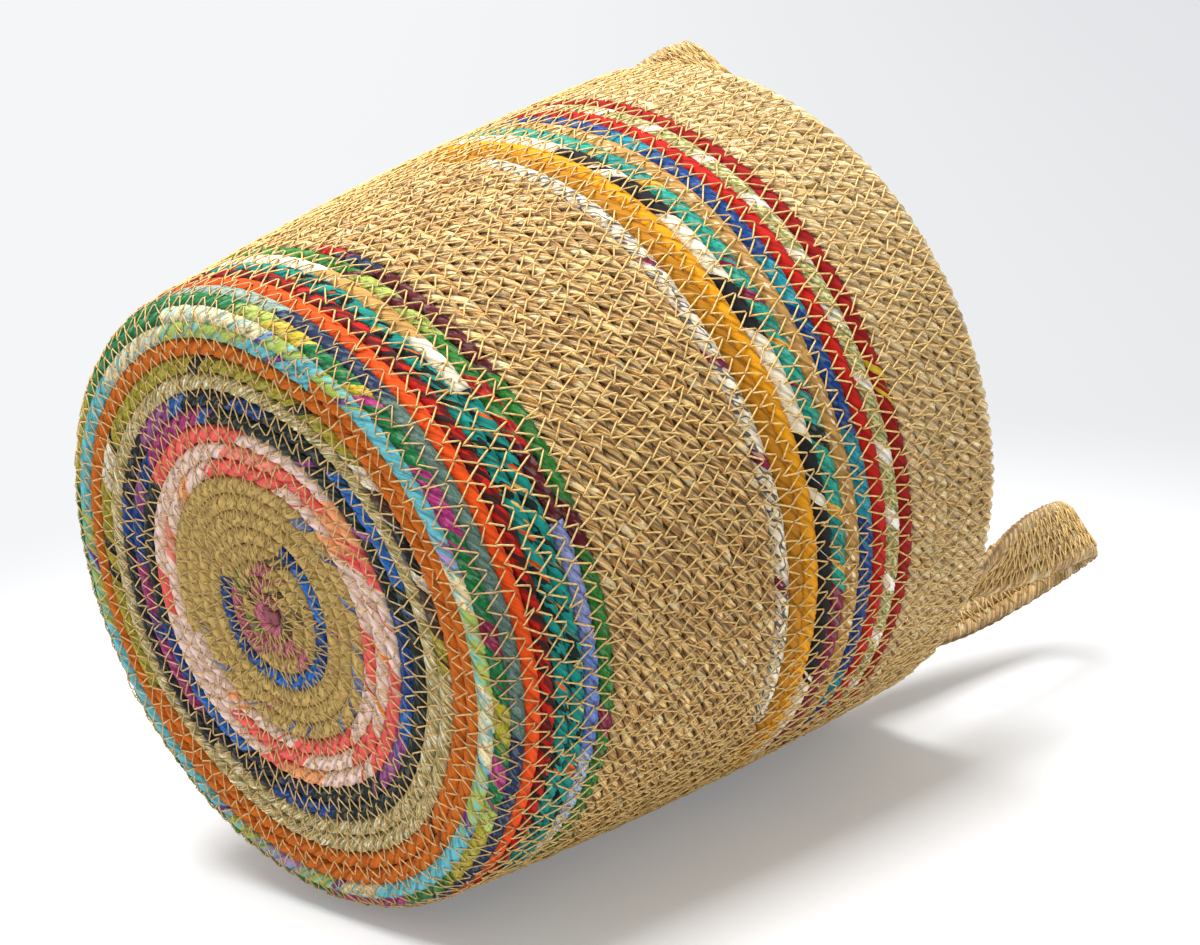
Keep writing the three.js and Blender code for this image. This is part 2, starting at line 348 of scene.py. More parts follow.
def point_values(made: Piece, name: str, values: Array) -> None:
    """Stores a number, or a vector, for each point of a mesh under a name that materials read."""
    is_vector = values.shape[-1] == 3 and values.ndim > 1
    kind, key = ("FLOAT_VECTOR", "vector") if is_vector else ("FLOAT", "value")
    attribute = made.data.attributes.new(name, kind, "POINT")
    attribute.data.foreach_set(key, values.astype(np.float32).ravel())


def uneven_run(run: Array, spacing: float, seed: int) -> Array:
    """Smooth random values from -1 to 1 along a run: random knots at a spacing, joined by cosine steps."""
    chance = np.random.default_rng(seed)
    knots = chance.uniform(-1, 1, int((run[-1] - run[0]) / spacing) + 3)
    place = (run - run[0]) / spacing
    before = place.astype(int)
    mix = (1 - np.cos(math.pi * (place - before))) / 2
    return knots[before] * (1 - mix) + knots[before + 1] * mix


@dataclass
class CordBody:
    """A length of twisted cord as a closed mesh.

    The section is a bundle of equal plies round the middle. Its points turn with the plies, so each groove
    between two plies is a line of the mesh.
    """

    plies: int = 3
    points_per_ply: int = 4
    overlap: float = 1.14
    swell: float = 0.015
    swell_spacing: float = 0.030
    strip_lead: float = 0.0031
    blade_step: float = 0.37

    def ply_numbers(self) -> Array:
        """Number of the ply that each section point belongs to."""
        sides = self.plies * self.points_per_ply
        return (np.arange(sides) + 1) // self.points_per_ply % self.plies

    def reach(self, angle: Array, share: float) -> Array:
        """Reach of the section at an angle from a ply's middle. The ply's radius is a share q of the cord's.

        It is that of a circle centred off the cord's middle: (1 - q) cos + sqrt(q^2 - (1 - q)^2 sin^2).
        """
        off = 1 - share
        return off * np.cos(angle) + np.sqrt(share**2 - (off * np.sin(angle)) ** 2)

    def section(self, run: Array, twist: Twist, seed: int) -> tuple[Array, Array, Array]:
        """Angle and reach of every section point.

        Args:
            run: distance along the cord of each ring.
            twist: lay of the plies.
            seed: number that sets the unevenness.

        Returns:
            Angles and reaches by ring and point, and the height of each point on its ply from 0 to 1.
        """
        sides = self.plies * self.points_per_ply
        start = np.arange(sides) * FULL_TURN / sides
        from_middle = (np.arange(sides) % self.points_per_ply) * FULL_TURN / sides
        from_middle = np.minimum(from_middle, FULL_TURN / self.plies - from_middle)
        reach = self.reach(from_middle, twist.ply_share)
        lowest = float(self.reach(np.array(math.pi / self.plies), twist.ply_share))
        on_ply = (reach - lowest) / max(1 - lowest, 1e-6)
        angles = start[None, :] + FULL_TURN * run[:, None] / twist.length
        spacing = twist.length / self.plies
        sizes = [uneven_run(run, spacing, seed * 7 + ply) for ply in range(self.plies)]
        swell = np.stack(sizes, axis=1)[:, self.ply_numbers()]
        whole = uneven_run(run, self.swell_spacing, seed * 7 + self.plies)[:, None]
        reaches = reach[None, :] * (1 + twist.unevenness * swell * on_ply[None, :] + self.swell * whole)
        return angles, reaches, np.broadcast_to(on_ply, angles.shape)

    def build(
        self,
        name: str,
        path: tuple[Array, Array, Array],
        half_sizes: tuple[Array, Array],
        run: Array,
        twist: Twist,
        seed: int,
    ) -> Piece:
        """Carries the section along a path and closes both ends.

        Args:
            name: name of the piece.
            path: points, directions across the row, and outward directions, one of each to a ring.
            half_sizes: half width and half thickness of the cord at each ring.
            run: distance along the cord of each ring.
            twist: lay of the plies.
            seed: number that sets the unevenness.

        Returns:
            The mesh object. Its map "wrap" gives metres along, leaning with the wrapping, and metres round
            from the edge on the base side. Its "strand" runs straight along the plies, "ply" is the height on
            a ply, and "blade" differs from one ply to the next.
        """
        centre, across, outward = path
        half_width, half_thickness = half_sizes
        angles, reaches, on_ply = self.section(run, twist, seed)
        beside = (reaches * np.cos(angles) * (half_width * self.overlap)[:, None])[..., None]
        above = (reaches * np.sin(angles) * half_thickness[:, None])[..., None]
        points = centre[:, None] + beside * across[:, None] + above * outward[:, None]
        made = mesh_object(name, points, tube_faces(*angles.shape))
        self.map_wrap(made, angles, run)
        lay = angles - FULL_TURN * run[:, None] / twist.length
        along = np.broadcast_to(run[:, None], lay.shape)
        strand = np.stack([np.cos(lay) * ROUND_STEP, np.sin(lay) * ROUND_STEP, along], axis=-1)
        point_values(made, "strand", strand)
        point_values(made, "ply", on_ply)
        point_values(made, "blade", np.broadcast_to(self.ply_numbers() * self.blade_step, lay.shape))
        return made

    def map_wrap(self, made: Piece, angles: Array, run: Array) -> None:
        """Writes the map "wrap" face by face, so that it starts afresh at the base side edge of the cord."""
        quads = ring_faces(*angles.shape)
        flat_angles = (angles + math.pi).ravel()[quads]
        flat_angles -= np.floor(flat_angles.mean(axis=1) / FULL_TURN)[:, None] * FULL_TURN
        along = np.repeat(run, angles.shape[1])[quads] - (flat_angles - 1.5 * math.pi) * self.strip_lead
        faces = np.stack([along, flat_angles * ROUND_STEP], axis=-1).reshape(-1, 2)
        caps = np.zeros((2 * angles.shape[1], 2))
        wrap = made.data.uv_layers.new(name="wrap")
        wrap.data.foreach_set("uv", np.concatenate([faces, caps]).astype(np.float32).ravel())


@dataclass
class Thread:
    """Sewing thread laid as zigzags: each leg runs straight from tip to tip and dips in at the tips."""

    radius: float = 0.00031
    tip_depth: float = 0.00042
    lift: float = 0.00030
    lift_spread: tuple[float, float] = (0.5, 1.5)
    leg_shares: tuple[float, ...] = (0.0, 0.13, 0.5, 0.87)
    tip_scatter: float = 0.00075
    scatter_kept_flat: float = 0.8

    def legs(self, tips: Array, normals: Array, chance: np.random.Generator) -> tuple[Array, Array]:
        """Points of the legs of a seam: raised by lift along a leg, and lowered by tip_depth at its tips.

        Args:
            tips: tips of the zigzags in order.
            normals: outward direction at each tip.
            chance: source of the scatter of the tips.

        Returns:
            The points and the outward direction at each.
        """
        moved = chance.normal(0, self.tip_scatter, tips.shape)
        moved -= self.scatter_kept_flat * normals * np.sum(moved * normals, axis=1, keepdims=True)
        tips = tips + moved
        shares = np.array(self.leg_shares)[None, :, None]
        uneven = chance.uniform(*self.lift_spread, (len(tips) - 1, 1, 1))
        raised = np.where(shares == 0, -self.tip_depth, self.lift * uneven)
        line = tips[:-1, None] * (1 - shares) + tips[1:, None] * shares
        up = normals[:-1, None] * (1 - shares) + normals[1:, None] * shares
        return (line + up * raised).reshape(-1, 3), up.reshape(-1, 3)

    def build(self, name: str, seams: list[tuple[Array, Array]], seed: int) -> Piece:
        """Makes one mesh of several seams, with a square on its corner as the section of the thread.

        Args:
            name: name of the piece.
            seams: for each seam, its tips in order and the outward direction at each tip.
            seed: number that sets the scatter of the tips.

        Returns:
            The mesh object, with the vector "strand" along the thread.
        """
        chance = np.random.default_rng(seed)
        points, faces, strands = [], [], []
        for tips, normals in seams:
            line, up = self.legs(tips, normals, chance)
            ahead = unit_rows(np.gradient(line, axis=0))
            side = unit_rows(np.cross(ahead, up))
            above = np.cross(side, ahead)
            ring = np.stack([line + self.radius * corner for corner in (side, above, -side, -above)], axis=1)
            faces += tube_faces(len(line), 4, 4 * sum(map(len, strands)))
            strand = np.zeros((len(line), 4, 3))
            strand[..., 0] = np.array([1, 0, -1, 0]) * self.radius
            strand[..., 1] = np.array([0, 1, 0, -1]) * self.radius
            strand[..., 2] = distances_along(line)[:, None]
            points.append(ring)
            strands.append(strand)
        made = mesh_object(name, np.concatenate(points), faces)
        point_values(made, "strand", np.concatenate(strands))
        return made


@dataclass
class Bench:
    """Places and links nodes in one material or node group."""

    tree: bpy.types.NodeTree

    def feed(self, node: Node, inputs: dict) -> Node:
        """Gives a node its inputs.

        Args:
            node: the node.
            inputs: by name or number, a socket to link, the name of a colour, or a plain value.

        Returns:
            The same node.
        """
        for key, value in inputs.items():
            if isinstance(value, Socket):
                self.tree.links.new(value, node.inputs[key])
            else:
                node.inputs[key].default_value = linear_colour(value) if isinstance(value, str) else value
        return node

    def add(self, kind: str, inputs: dict | None = None, **settings: object) -> Node:
        """Adds a node of a type such as "ShaderNodeTexNoise", with its properties and then its inputs."""
        return self.feed(set_all(self.tree.nodes.new(kind), **settings), inputs or {})

    def maths(self, operation: str, first: Value, second: Value = 0.0) -> Socket:
        """Works out one sum of two numbers."""
        return self.add("ShaderNodeMath", {0: first, 1: second}, operation=operation).outputs[0]

    def times(self, first: Value, second: Value) -> Socket:
        """Product of two numbers."""
        return self.maths("MULTIPLY", first, second)

    def scaled(self, value: Value, scale: Value, base: Value) -> Socket:
        """Product of two numbers, added to a base."""
        return self.maths("ADD", self.times(value, scale), base)

    def darkening(self, share: Socket, depth: float) -> Socket:
        """Factor that falls from 1 to 1 - depth as the share rises."""
        return self.maths("SUBTRACT", 1.0, self.times(share, depth))

    def away(self, value: Socket, middle: float) -> Socket:
        """How far a value lies from a middle, either way."""
        return self.maths("ABSOLUTE", self.maths("SUBTRACT", value, middle))

    def joined(self, *parts: Value) -> Socket:
        """Vector of up to three parts."""
        return self.add("ShaderNodeCombineXYZ", dict(enumerate(parts))).outputs[0]

    def parts(self, vector: Socket) -> list[Socket]:
        """The three parts of a vector."""
        return list(self.add("ShaderNodeSeparateXYZ", {0: vector}).outputs)

    def stretch(self, vector: Socket, scale: Socket | tuple[float, float, float]) -> Socket:
        """Multiplies a vector part by part."""
        return self.add("ShaderNodeVectorMath", {0: vector, 1: scale}, operation="MULTIPLY").outputs[0]

    def noise(self, vector: Socket, scale: float, detail: float = 2.0) -> Socket:
        """Smooth random value from 0 to 1."""
        inputs = {"Vector": vector, "Scale": scale, "Detail": detail}
        return self.add("ShaderNodeTexNoise", inputs).outputs[0]

    def cells(self, vector: Socket, randomness: float) -> Node:
        """Voronoi pattern of cells."""
        return self.add("ShaderNodeTexVoronoi", {"Vector": vector, "Scale": 1.0, "Randomness": randomness})

    def ramp(self, value: Socket, low: float, high: float) -> Socket:
        """Value that rises smoothly from 0 at low to 1 at high."""
        inputs = {"Value": value, "From Min": low, "From Max": high}
        return self.add("ShaderNodeMapRange", inputs, interpolation_type="SMOOTHSTEP").outputs[0]

    def mix(self, share: Value, first: Socket | str, second: Socket | str, strength: float = 1.0) -> Socket:
        """Colour between two colours. A strength other than 1 scales the share."""
        if strength != 1.0:
            share = self.times(share, strength)
        return self.add("ShaderNodeMix", {0: share, 6: first, 7: second}, data_type="RGBA").outputs[2]

    def shade(self, colour: Socket, first: Value, second: Value) -> Socket:
        """Multiplies a colour by two factors, which darken it under 1 and lighten it over 1."""
        inputs = {0: colour, "Scale": self.times(first, second)}
        return self.add("ShaderNodeVectorMath", inputs, operation="SCALE").outputs[0]

    def bump(self, height: Socket, strength: float, distance: float, **more: Socket) -> Socket:
        """Normal bent by a height."""
        inputs = {"Strength": strength, "Distance": distance, "Height": height, **more}
        return self.add("ShaderNodeBump", inputs).outputs[0]

    def measure(self, operation: str, place: Socket, vector: Vector) -> Socket:
        """Number worked out from two vectors, such as their distance."""
        inputs = {0: place, 1: tuple(vector)}
        return self.add("ShaderNodeVectorMath", inputs, operation=operation).outputs["Value"]

    def mix_shaders(self, share: Socket, first: Node, second: Node) -> Node:
        """Shader between two others."""
        inputs = {0: share, 1: first.outputs[0], 2: second.outputs[0]}
        return self.add("ShaderNodeMixShader", inputs)

    def wrap_map(self) -> Socket:
        """Map of the covering: metres along with the lean of the wrapping, then metres round."""
        return self.add("ShaderNodeUVMap", uv_map="wrap").outputs[0]

    def stored(self, name: str, output: str = "Fac") -> Socket:
        """Value that the mesh holds at its points."""
        return self.add("ShaderNodeAttribute", attribute_name=name).outputs[output]


@dataclass
class Effect:
    """A node group that several finishes share. Its first input is a vector, and the rest are numbers."""

    name: str
    inputs: tuple[str, ...]
    outputs: tuple[str, ...]

    def __post_init__(self) -> None:
        """Makes the group and its sockets."""
        self.group = bpy.data.node_groups.new(self.name, "ShaderNodeTree")
        kinds = ["NodeSocketVector"] + ["NodeSocketFloat"] * (len(self.inputs) - 1)
        for name, kind in zip(self.inputs, kinds):
            self.group.interface.new_socket(name, in_out="INPUT", socket_type=kind)
        for name in self.outputs:
            self.group.interface.new_socket(name, in_out="OUTPUT", socket_type="NodeSocketFloat")
        self.bench = Bench(self.group)
        self.entry = self.group.nodes.new("NodeGroupInput").outputs
        self.exit = self.group.nodes.new("NodeGroupOutput")

    def give(self, **results: Socket) -> "Effect":
        """Links results to the outputs of the group."""
        self.bench.feed(self.exit, results)
        return self

    def place(self, bench: Bench, **values: Value) -> dict[str, Socket]:
        """Puts the group in a material with its own input values, and gives its outputs by name."""
        node = bench.add("ShaderNodeGroup", values, node_tree=self.group)
        return {name: node.outputs[name] for name in self.outputs}


class Effects:
    """The shared effects, each made when it is first used."""

    @cached_property
    def fibres(self) -> Effect:
        """Long streaks: noise that is fine across the strand and slow along it."""
        effect = Effect("fibres", ("Strand", "Across", "Along"), ("Streaks", "Hairs"))
        bench, entry = effect.bench, effect.entry
        scale = bench.joined(entry["Across"], entry["Across"], entry["Along"])
        laid = bench.stretch(entry["Strand"], scale)
        hairs = bench.ramp(bench.noise(laid, 2.6, 1.0), 0.42, 0.62)
        return effect.give(Streaks=bench.noise(laid, 1.0, 3.0), Hairs=hairs)

    @cached_property
    def weave(self) -> Effect:
        """Plain weave: product of a wave along and a wave round the cord."""
        effect = Effect("weave", ("Wrap", "Pitch"), ("Height",))
        bench = effect.bench
        waves = []
        for part in bench.parts(effect.entry["Wrap"])[:2]:
            turns = bench.maths("DIVIDE", part, effect.entry["Pitch"])
            waves.append(bench.maths("SINE", bench.times(turns, FULL_TURN)))
        return effect.give(Height=bench.scaled(bench.times(*waves), 0.5, 0.5))

    @cached_property
    def folds(self) -> Effect:
        """Creases that lean with the wrapping: noise that is quick along the cord and slow round it. The
        cloth finish also paints fold shade from its height and crease mask.
        """
        effect = Effect("folds", ("Wrap", "Spacing"), ("Height", "Crease"))
        bench = effect.bench
        per_metre = bench.maths("DIVIDE", 1.0, effect.entry["Spacing"])
        laid = bench.stretch(effect.entry["Wrap"], bench.joined(per_metre, bench.times(per_metre, 0.22)))
        height = bench.noise(laid, 1.0)
        return effect.give(Height=height, Crease=bench.ramp(bench.away(height, 0.5), 0.035, 0.0))

    @cached_property
    def flecks(self) -> Effect:
        """Scattered leaf shapes: cells of a stretched pattern whose random number is under a share."""
        effect = Effect("flecks", ("Wrap", "Size", "Stretch", "Share", "Seed"), ("Mask", "Pick"))
        bench, entry = effect.bench, effect.entry
        along, around, _ = bench.parts(entry["Wrap"])
        across = bench.times(entry["Size"], entry["Stretch"])
        moved = bench.maths("ADD", bench.maths("DIVIDE", along, across), entry["Seed"])
        laid = bench.joined(moved, bench.maths("DIVIDE", around, entry["Size"]), entry["Seed"])
        cells = bench.cells(laid, 0.9)
        red, green, _ = bench.parts(cells.outputs["Color"])
        chosen = bench.maths("LESS_THAN", red, entry["Share"])
        near = bench.ramp(cells.outputs["Distance"], 0.50, 0.40)
        return effect.give(Mask=bench.times(chosen, near), Pick=green)

    @cached_property
    def bars(self) -> Effect:
        """Bars across the wrapping: the part of each spacing under a share, with a wavering edge."""
        effect = Effect("bars", ("Wrap", "Spacing", "Share", "Waver"), ("Mask",))
        bench, entry = effect.bench, effect.entry
        moved = bench.scaled(bench.noise(entry["Wrap"], 350.0), entry["Waver"], bench.parts(entry["Wrap"])[0])
        place = bench.maths("FRACT", bench.maths("DIVIDE", moved, entry["Spacing"]))
        return effect.give(Mask=bench.maths("LESS_THAN", place, entry["Share"]))

    @cached_property
    def patches(self) -> Effect:
        """Distance along the wrapping with its edges made uneven by noise, for patches of colour."""
        effect = Effect("patch_place", ("Wrap", "Waver"), ("Along",))
        bench, entry = effect.bench, effect.entry
        waver = bench.maths("SUBTRACT", bench.noise(entry["Wrap"], 420.0), 0.5)
        return effect.give(Along=bench.scaled(waver, entry["Waver"], bench.parts(entry["Wrap"])[0]))

    @cached_property
    def seams(self) -> Effect:
        """Mask for painted shade: the strips beside the two seams of a cord, where the sine of its angle is
        near 0.
        """
        effect = Effect("seams", ("Wrap",), ("Mask",))
        bench = effect.bench
        angle = bench.maths("DIVIDE", bench.parts(effect.entry["Wrap"])[1], ROUND_STEP)
        return effect.give(Mask=bench.ramp(bench.maths("ABSOLUTE", bench.maths("SINE", angle)), 0.55, 0.05))


def new_material(name: str) -> tuple[Material, Bench, Node]:
    """Makes a material with a Principled shader, and a bench for its nodes."""
    made = bpy.data.materials.new(name)
    made.use_nodes = True
    return made, Bench(made.node_tree), made.node_tree.nodes["Principled BSDF"]


def patch_colours(bench: Bench, along: Socket, stops: list[tuple[float, str]]) -> Socket:
    """Colour that changes sharply at given distances.

    A colour ramp holds 32 stops at most, so a long list takes several, and each next one takes over where
    its own stops begin.

    Args:
        bench: bench of the material.
        along: distance along the cord in metres.
        stops: distance where each colour begins, in rising order, with the colour's name.

    Returns:
        The colour.
    """
    most = 30
    colour = None
    for first in range(0, len(stops), most):
        part = stops[first:first + most]
        start, end = part[0][0], part[-1][0] + 0.001
        inputs = {"Value": along, "From Min": start, "From Max": end}
        node = bench.add("ShaderNodeValToRGB", {0: bench.add("ShaderNodeMapRange", inputs).outputs[0]})
        node.color_ramp.interpolation = "CONSTANT"
        points = node.color_ramp.elements
        while len(points) < len(part):
            points.new(1.0)
        while len(points) > len(part):
            points.remove(points[-1])
        for point, (distance, tint) in zip(points, part):
            point.position = (distance - start) / (end - start)
            point.color = linear_colour(tint)
        if colour is None:
            colour = node.outputs[0]
        else:
            colour = bench.mix(bench.maths("GREATER_THAN", along, start), colour, node.outputs[0])
    return colour


@dataclass(frozen=True)
class GrassFinish:
    """Twisted seagrass: each ply is a bundle of thin blades, some paler, with painted shade in the gaps
    between blades, in the grooves between plies and along the row seams.
    """

    name: str
    light: str
    middle: str
    dark: str
    groove_shade: str
    pale: str = "#F4E0AE"
    blades_across: float = 1050.0
    blades_along: float = 95.0
    fibres_across: float = 3000.0
    fibres_along: float = 150.0
    tone_by_blade: float = 31.0
    tone_by_run: float = 135.0
    pale_from: float = 0.62
    pale_blend: float = 0.05
    gap_level: float = 0.47
    gap_shade_depth: float = 0.75
    groove_shade_depth: float = 0.85
    seam_shade_depth: float = 0.15
    blade_height: float = 0.0009

    def material(self, effects: Effects) -> Material:
        """Builds the material from the mesh values strand, ply and blade, and the map "wrap"."""
        made, bench, shader = new_material(self.name)
        strand = bench.stored("strand", "Vector")
        grains = ((self.blades_across, self.blades_along), (self.fibres_across, self.fibres_along))
        coarse, fine = (
            effects.fibres.place(bench, Strand=strand, Across=across, Along=along) for across, along in grains
        )
        blades = coarse["Streaks"]
        streaks = fine["Streaks"]
        blade = bench.times(bench.stored("blade"), self.tone_by_blade)
        run = bench.times(bench.parts(strand)[2], self.tone_by_run)
        tone = bench.noise(bench.joined(blade, run), 1.0, 1.0)
        colour = bench.mix(bench.ramp(blades, 0.38, 0.62), self.dark, self.light)
        colour = bench.mix(bench.ramp(streaks, 0.40, 0.75), colour, self.middle)
        lobe_shade = bench.scaled(bench.ramp(tone, 0.30, 0.66), 0.50, 0.72)
        colour = bench.shade(colour, lobe_shade, bench.scaled(bench.ramp(streaks, 0.34, 0.66), 0.45, 0.76))
        pale = bench.ramp(tone, self.pale_from, self.pale_from + self.pale_blend)
        colour = bench.mix(pale, colour, self.pale)
        # Painted shade: the groove colour laid into the gaps between blades, the grooves between plies and
        # the strips along the row seams.
        gap_shade = bench.ramp(bench.away(blades, self.gap_level), 0.022, 0.004)
        groove_shade_mask = bench.ramp(bench.stored("ply"), 0.60, 0.05)
        seam = effects.seams.place(bench, Wrap=bench.wrap_map())["Mask"]
        for share, depth in ((gap_shade, self.gap_shade_depth), (groove_shade_mask, self.groove_shade_depth), (seam, self.seam_shade_depth)):
            colour = bench.mix(share, colour, self.groove_shade, depth)
        height = bench.scaled(blades, 1.6, bench.times(streaks, 0.6))
        bench.feed(shader, {
            "Base Color": colour,
            "Roughness": bench.scaled(fine["Hairs"], 0.2, 0.4),
            "Specular IOR Level": 0.5,
            "Normal": bench.bump(height, 1.0, self.blade_height),
        })
        return made


@dataclass
class ClothBench(Bench):
    """Bench that lays prints over the ground colour of a cloth, with a method for each print."""

    effects: Effects
    wrap: Socket

    def lay(self, pattern: Print, ground: Socket) -> Socket:
        """Lays a print over the ground colour."""
        return getattr(self, pattern.value)(ground)

    def spots(self, scale: float, low: float, high: float, detail: float = 2.0) -> Socket:
        """Blotches where the noise is over a level. A larger scale makes them smaller."""
        return self.ramp(self.noise(self.wrap, scale, detail), low, high)

    def bars(self, spacing: float, share: float, waver: float) -> Socket:
        """Bars across the wrapping."""
        bars = self.effects.bars.place(self, Wrap=self.wrap, Spacing=spacing, Share=share, Waver=waver)
        return bars["Mask"]

    def plain(self, ground: Socket) -> Socket:
        """Leaves the ground colour as it is."""
        return ground

    def mottled(self, ground: Socket) -> Socket:
        """Darker and lighter blotches a millimetre or two wide."""
        darker = self.mix(self.spots(1100.0, 0.52, 0.60), ground, "#0C1418", 0.5)
        return self.mix(self.spots(480.0, 0.50, 0.60), darker, "#DDE6DC", 0.10)

    def clouded(self, ground: Socket) -> Socket:
        """Soft clouds of light blue, and smaller ones of sea green."""
        colour = self.mix(self.spots(250.0, 0.50, 0.58), ground, "light_blue", 0.7)
        return self.mix(self.spots(520.0, 0.57, 0.63), colour, "#3E9A8E", 0.7)

    def speckled(self, ground: Socket) -> Socket:
        """Pale and olive hairs that follow the plies."""
        strand = self.stored("strand", "Vector")
        streaks = self.effects.fibres.place(self, Strand=strand, Across=1500.0, Along=260.0)["Streaks"]
        colour = self.mix(self.ramp(streaks, 0.56, 0.62), ground, "#F2ECD6")
        return self.mix(self.ramp(streaks, 0.49, 0.42), colour, "#77743C", 0.8)

    def threaded(self, ground: Socket) -> Socket:
        """Fine straw coloured turns of thread close together over the ground."""
        straw = self.mix(self.spots(700.0, 0.35, 0.65), "#9C8040", "#E0C47C")
        return self.mix(self.bars(0.00085, 0.6, 0.0011), ground, straw, 0.45)

    def slashed(self, ground: Socket) -> Socket:
        """Dark brown bars across the wrapping, and broad dark patches in what is left of the ground."""
        patched = self.mix(self.spots(240.0, 0.51, 0.53, 1.0), ground, "dark_brown", 0.75)
        return self.mix(self.bars(0.0090, 0.30, 0.003), patched, "dark_brown")

    def leaves(self, ground: Socket) -> Socket:
        """Black ground between the leaves, and small gold and orange petals."""
        colour = self.mix(self.spots(190.0, 0.53, 0.55), ground, "#10201E")
        sizes = {"Size": 0.0046, "Stretch": 0.55, "Share": 0.22, "Seed": 3.0}
        petals = self.effects.flecks.place(self, Wrap=self.wrap, **sizes)
        petal = self.mix(self.ramp(petals["Pick"], 0.55, 0.6), "#E2B45A", "#D8581C")
        return self.mix(petals["Mask"], colour, petal)

    def dotted(self, ground: Socket) -> Socket:
        """Small pale petals in loose rows, over a ground that darkens here and there."""
        cloth = self.mix(self.spots(420.0, 0.46, 0.60), ground, "#946A34", 0.45)
        cells = self.cells(self.stretch(self.wrap, (330.0, 520.0, 1.0)), 0.8)
        dot = self.ramp(cells.outputs["Distance"], 0.40, 0.28)
        return self.mix(dot, cloth, "#EFE2C4", 0.8)

    def scribbled(self, ground: Socket) -> Socket:
        """Thin curling ink lines on cream, with washes of grey and pink."""
        rings = self.maths("FRACT", self.times(self.noise(self.wrap, 170.0, 1.0), 5.5))
        line = self.ramp(self.away(rings, 0.5), 0.20, 0.13)
        pale = self.mix(self.spots(240.0, 0.54, 0.58, 1.0), ground, "#DCC0B4", 0.55)
        return self.mix(line, pale, "#2C2C34", 0.85)

    def pale_slashed(self, ground: Socket) -> Socket:
        """Olive specks, and white bars far apart."""
        colour = self.mix(self.spots(800.0, 0.47, 0.52), ground, "#7C7E2E", 0.85)
        return self.mix(self.bars(0.023, 0.24, 0.006), colour, "#F4F0E2")


@dataclass(frozen=True)
class ClothFinish:
    """A strip of cotton cloth wound round the cord: ground colours, a print, folds and a fine weave, with
    painted shade on the folds, in the grooves between plies and along the row seams.
    """

    name: str
    pattern: Print
    roughness: float = 0.78
    patch_waver: float = 0.0022
    wash_scale: float = 160.0
    fold_spacing: float = 0.0030
    fold_shade_depth: float = 0.45
    fold_bump: float = 0.8
    fold_height: float = 0.0007
    weave_pitch: float = 0.00045
    weave_bump: float = 0.25
    weave_height: float = 0.0001
    groove_shading: float = 0.45
    seam_shading: float = 0.5

    def material(self, effects: Effects, stops: list[tuple[float, str]]) -> Material:
        """Builds the material.

        Args:
            effects: the shared node groups.
            stops: where each ground colour begins along the cord, with its name.

        Returns:
            The material, which reads the map "wrap" and the mesh values strand and ply.
        """
        made, bench, shader = new_material(self.name)
        wrap = bench.wrap_map()
        place = effects.patches.place(bench, Wrap=wrap, Waver=self.patch_waver)["Along"]
        colour = ClothBench(bench.tree, effects, wrap).lay(self.pattern, patch_colours(bench, place, stops))
        fold = effects.folds.place(bench, Wrap=wrap, Spacing=self.fold_spacing)
        # Painted shade: fold tops lighter and hollows between folds darker, times a random wash of tone;
        # creases darker still.
        light = bench.scaled(fold["Height"], self.fold_shade_depth, 1.0 - self.fold_shade_depth / 2)
        light = bench.times(light, bench.scaled(bench.noise(wrap, self.wash_scale), 0.3, 0.85))
        colour = bench.shade(colour, light, bench.darkening(fold["Crease"], self.fold_shade_depth * 0.5))
        # Painted shade: darker in the grooves between plies and in the strips along the row seams, where rows
        # meet.
        groove_shade = bench.darkening(bench.ramp(bench.stored("ply"), 0.5, 0.0), self.groove_shading)
        seam = bench.darkening(effects.seams.place(bench, Wrap=wrap)["Mask"], self.seam_shading)
        weave = effects.weave.place(bench, Wrap=wrap, Pitch=self.weave_pitch)["Height"]
        woven = bench.bump(weave, self.weave_bump, self.weave_height)
        bench.feed(shader, {
            "Base Color": bench.shade(colour, groove_shade, seam),
            "Roughness": self.roughness,
            "Sheen Weight": 0.03,
            "Specular IOR Level": 0.2,
            "Normal": bench.bump(fold["Height"], self.fold_bump, self.fold_height, Normal=woven),
        })
        return made


@dataclass(frozen=True)
class ThreadFinish:
    """Waxed sewing thread: a little paler and darker along its run."""

    name: str
    light: str
    dark: str
    fibres_across: float = 3200.0
    fibres_along: float = 700.0
    fibre_bump: float = 0.4
    fibre_height: float = 0.0001

    def material(self, effects: Effects) -> Material:
        """Builds the material from the mesh value strand."""
        made, bench, shader = new_material(self.name)
        strand = bench.stored("strand", "Vector")
        grain = {"Across": self.fibres_across, "Along": self.fibres_along}
        streaks = effects.fibres.place(bench, Strand=strand, **grain)["Streaks"]
        bench.feed(shader, {
            "Base Color": bench.mix(bench.ramp(streaks, 0.35, 0.62), self.dark, self.light),
            "Normal": bench.bump(streaks, self.fibre_bump, self.fibre_height),
            "Roughness": 0.55,
        })
        return made


# Turns of ground before the first chance patch, of each such patch, and of the least room for them
PATCH_LEADS = (0.02, 0.05)
PATCH_LENGTHS = (0.025, 0.07)
PATCH_ROOM = 0.30


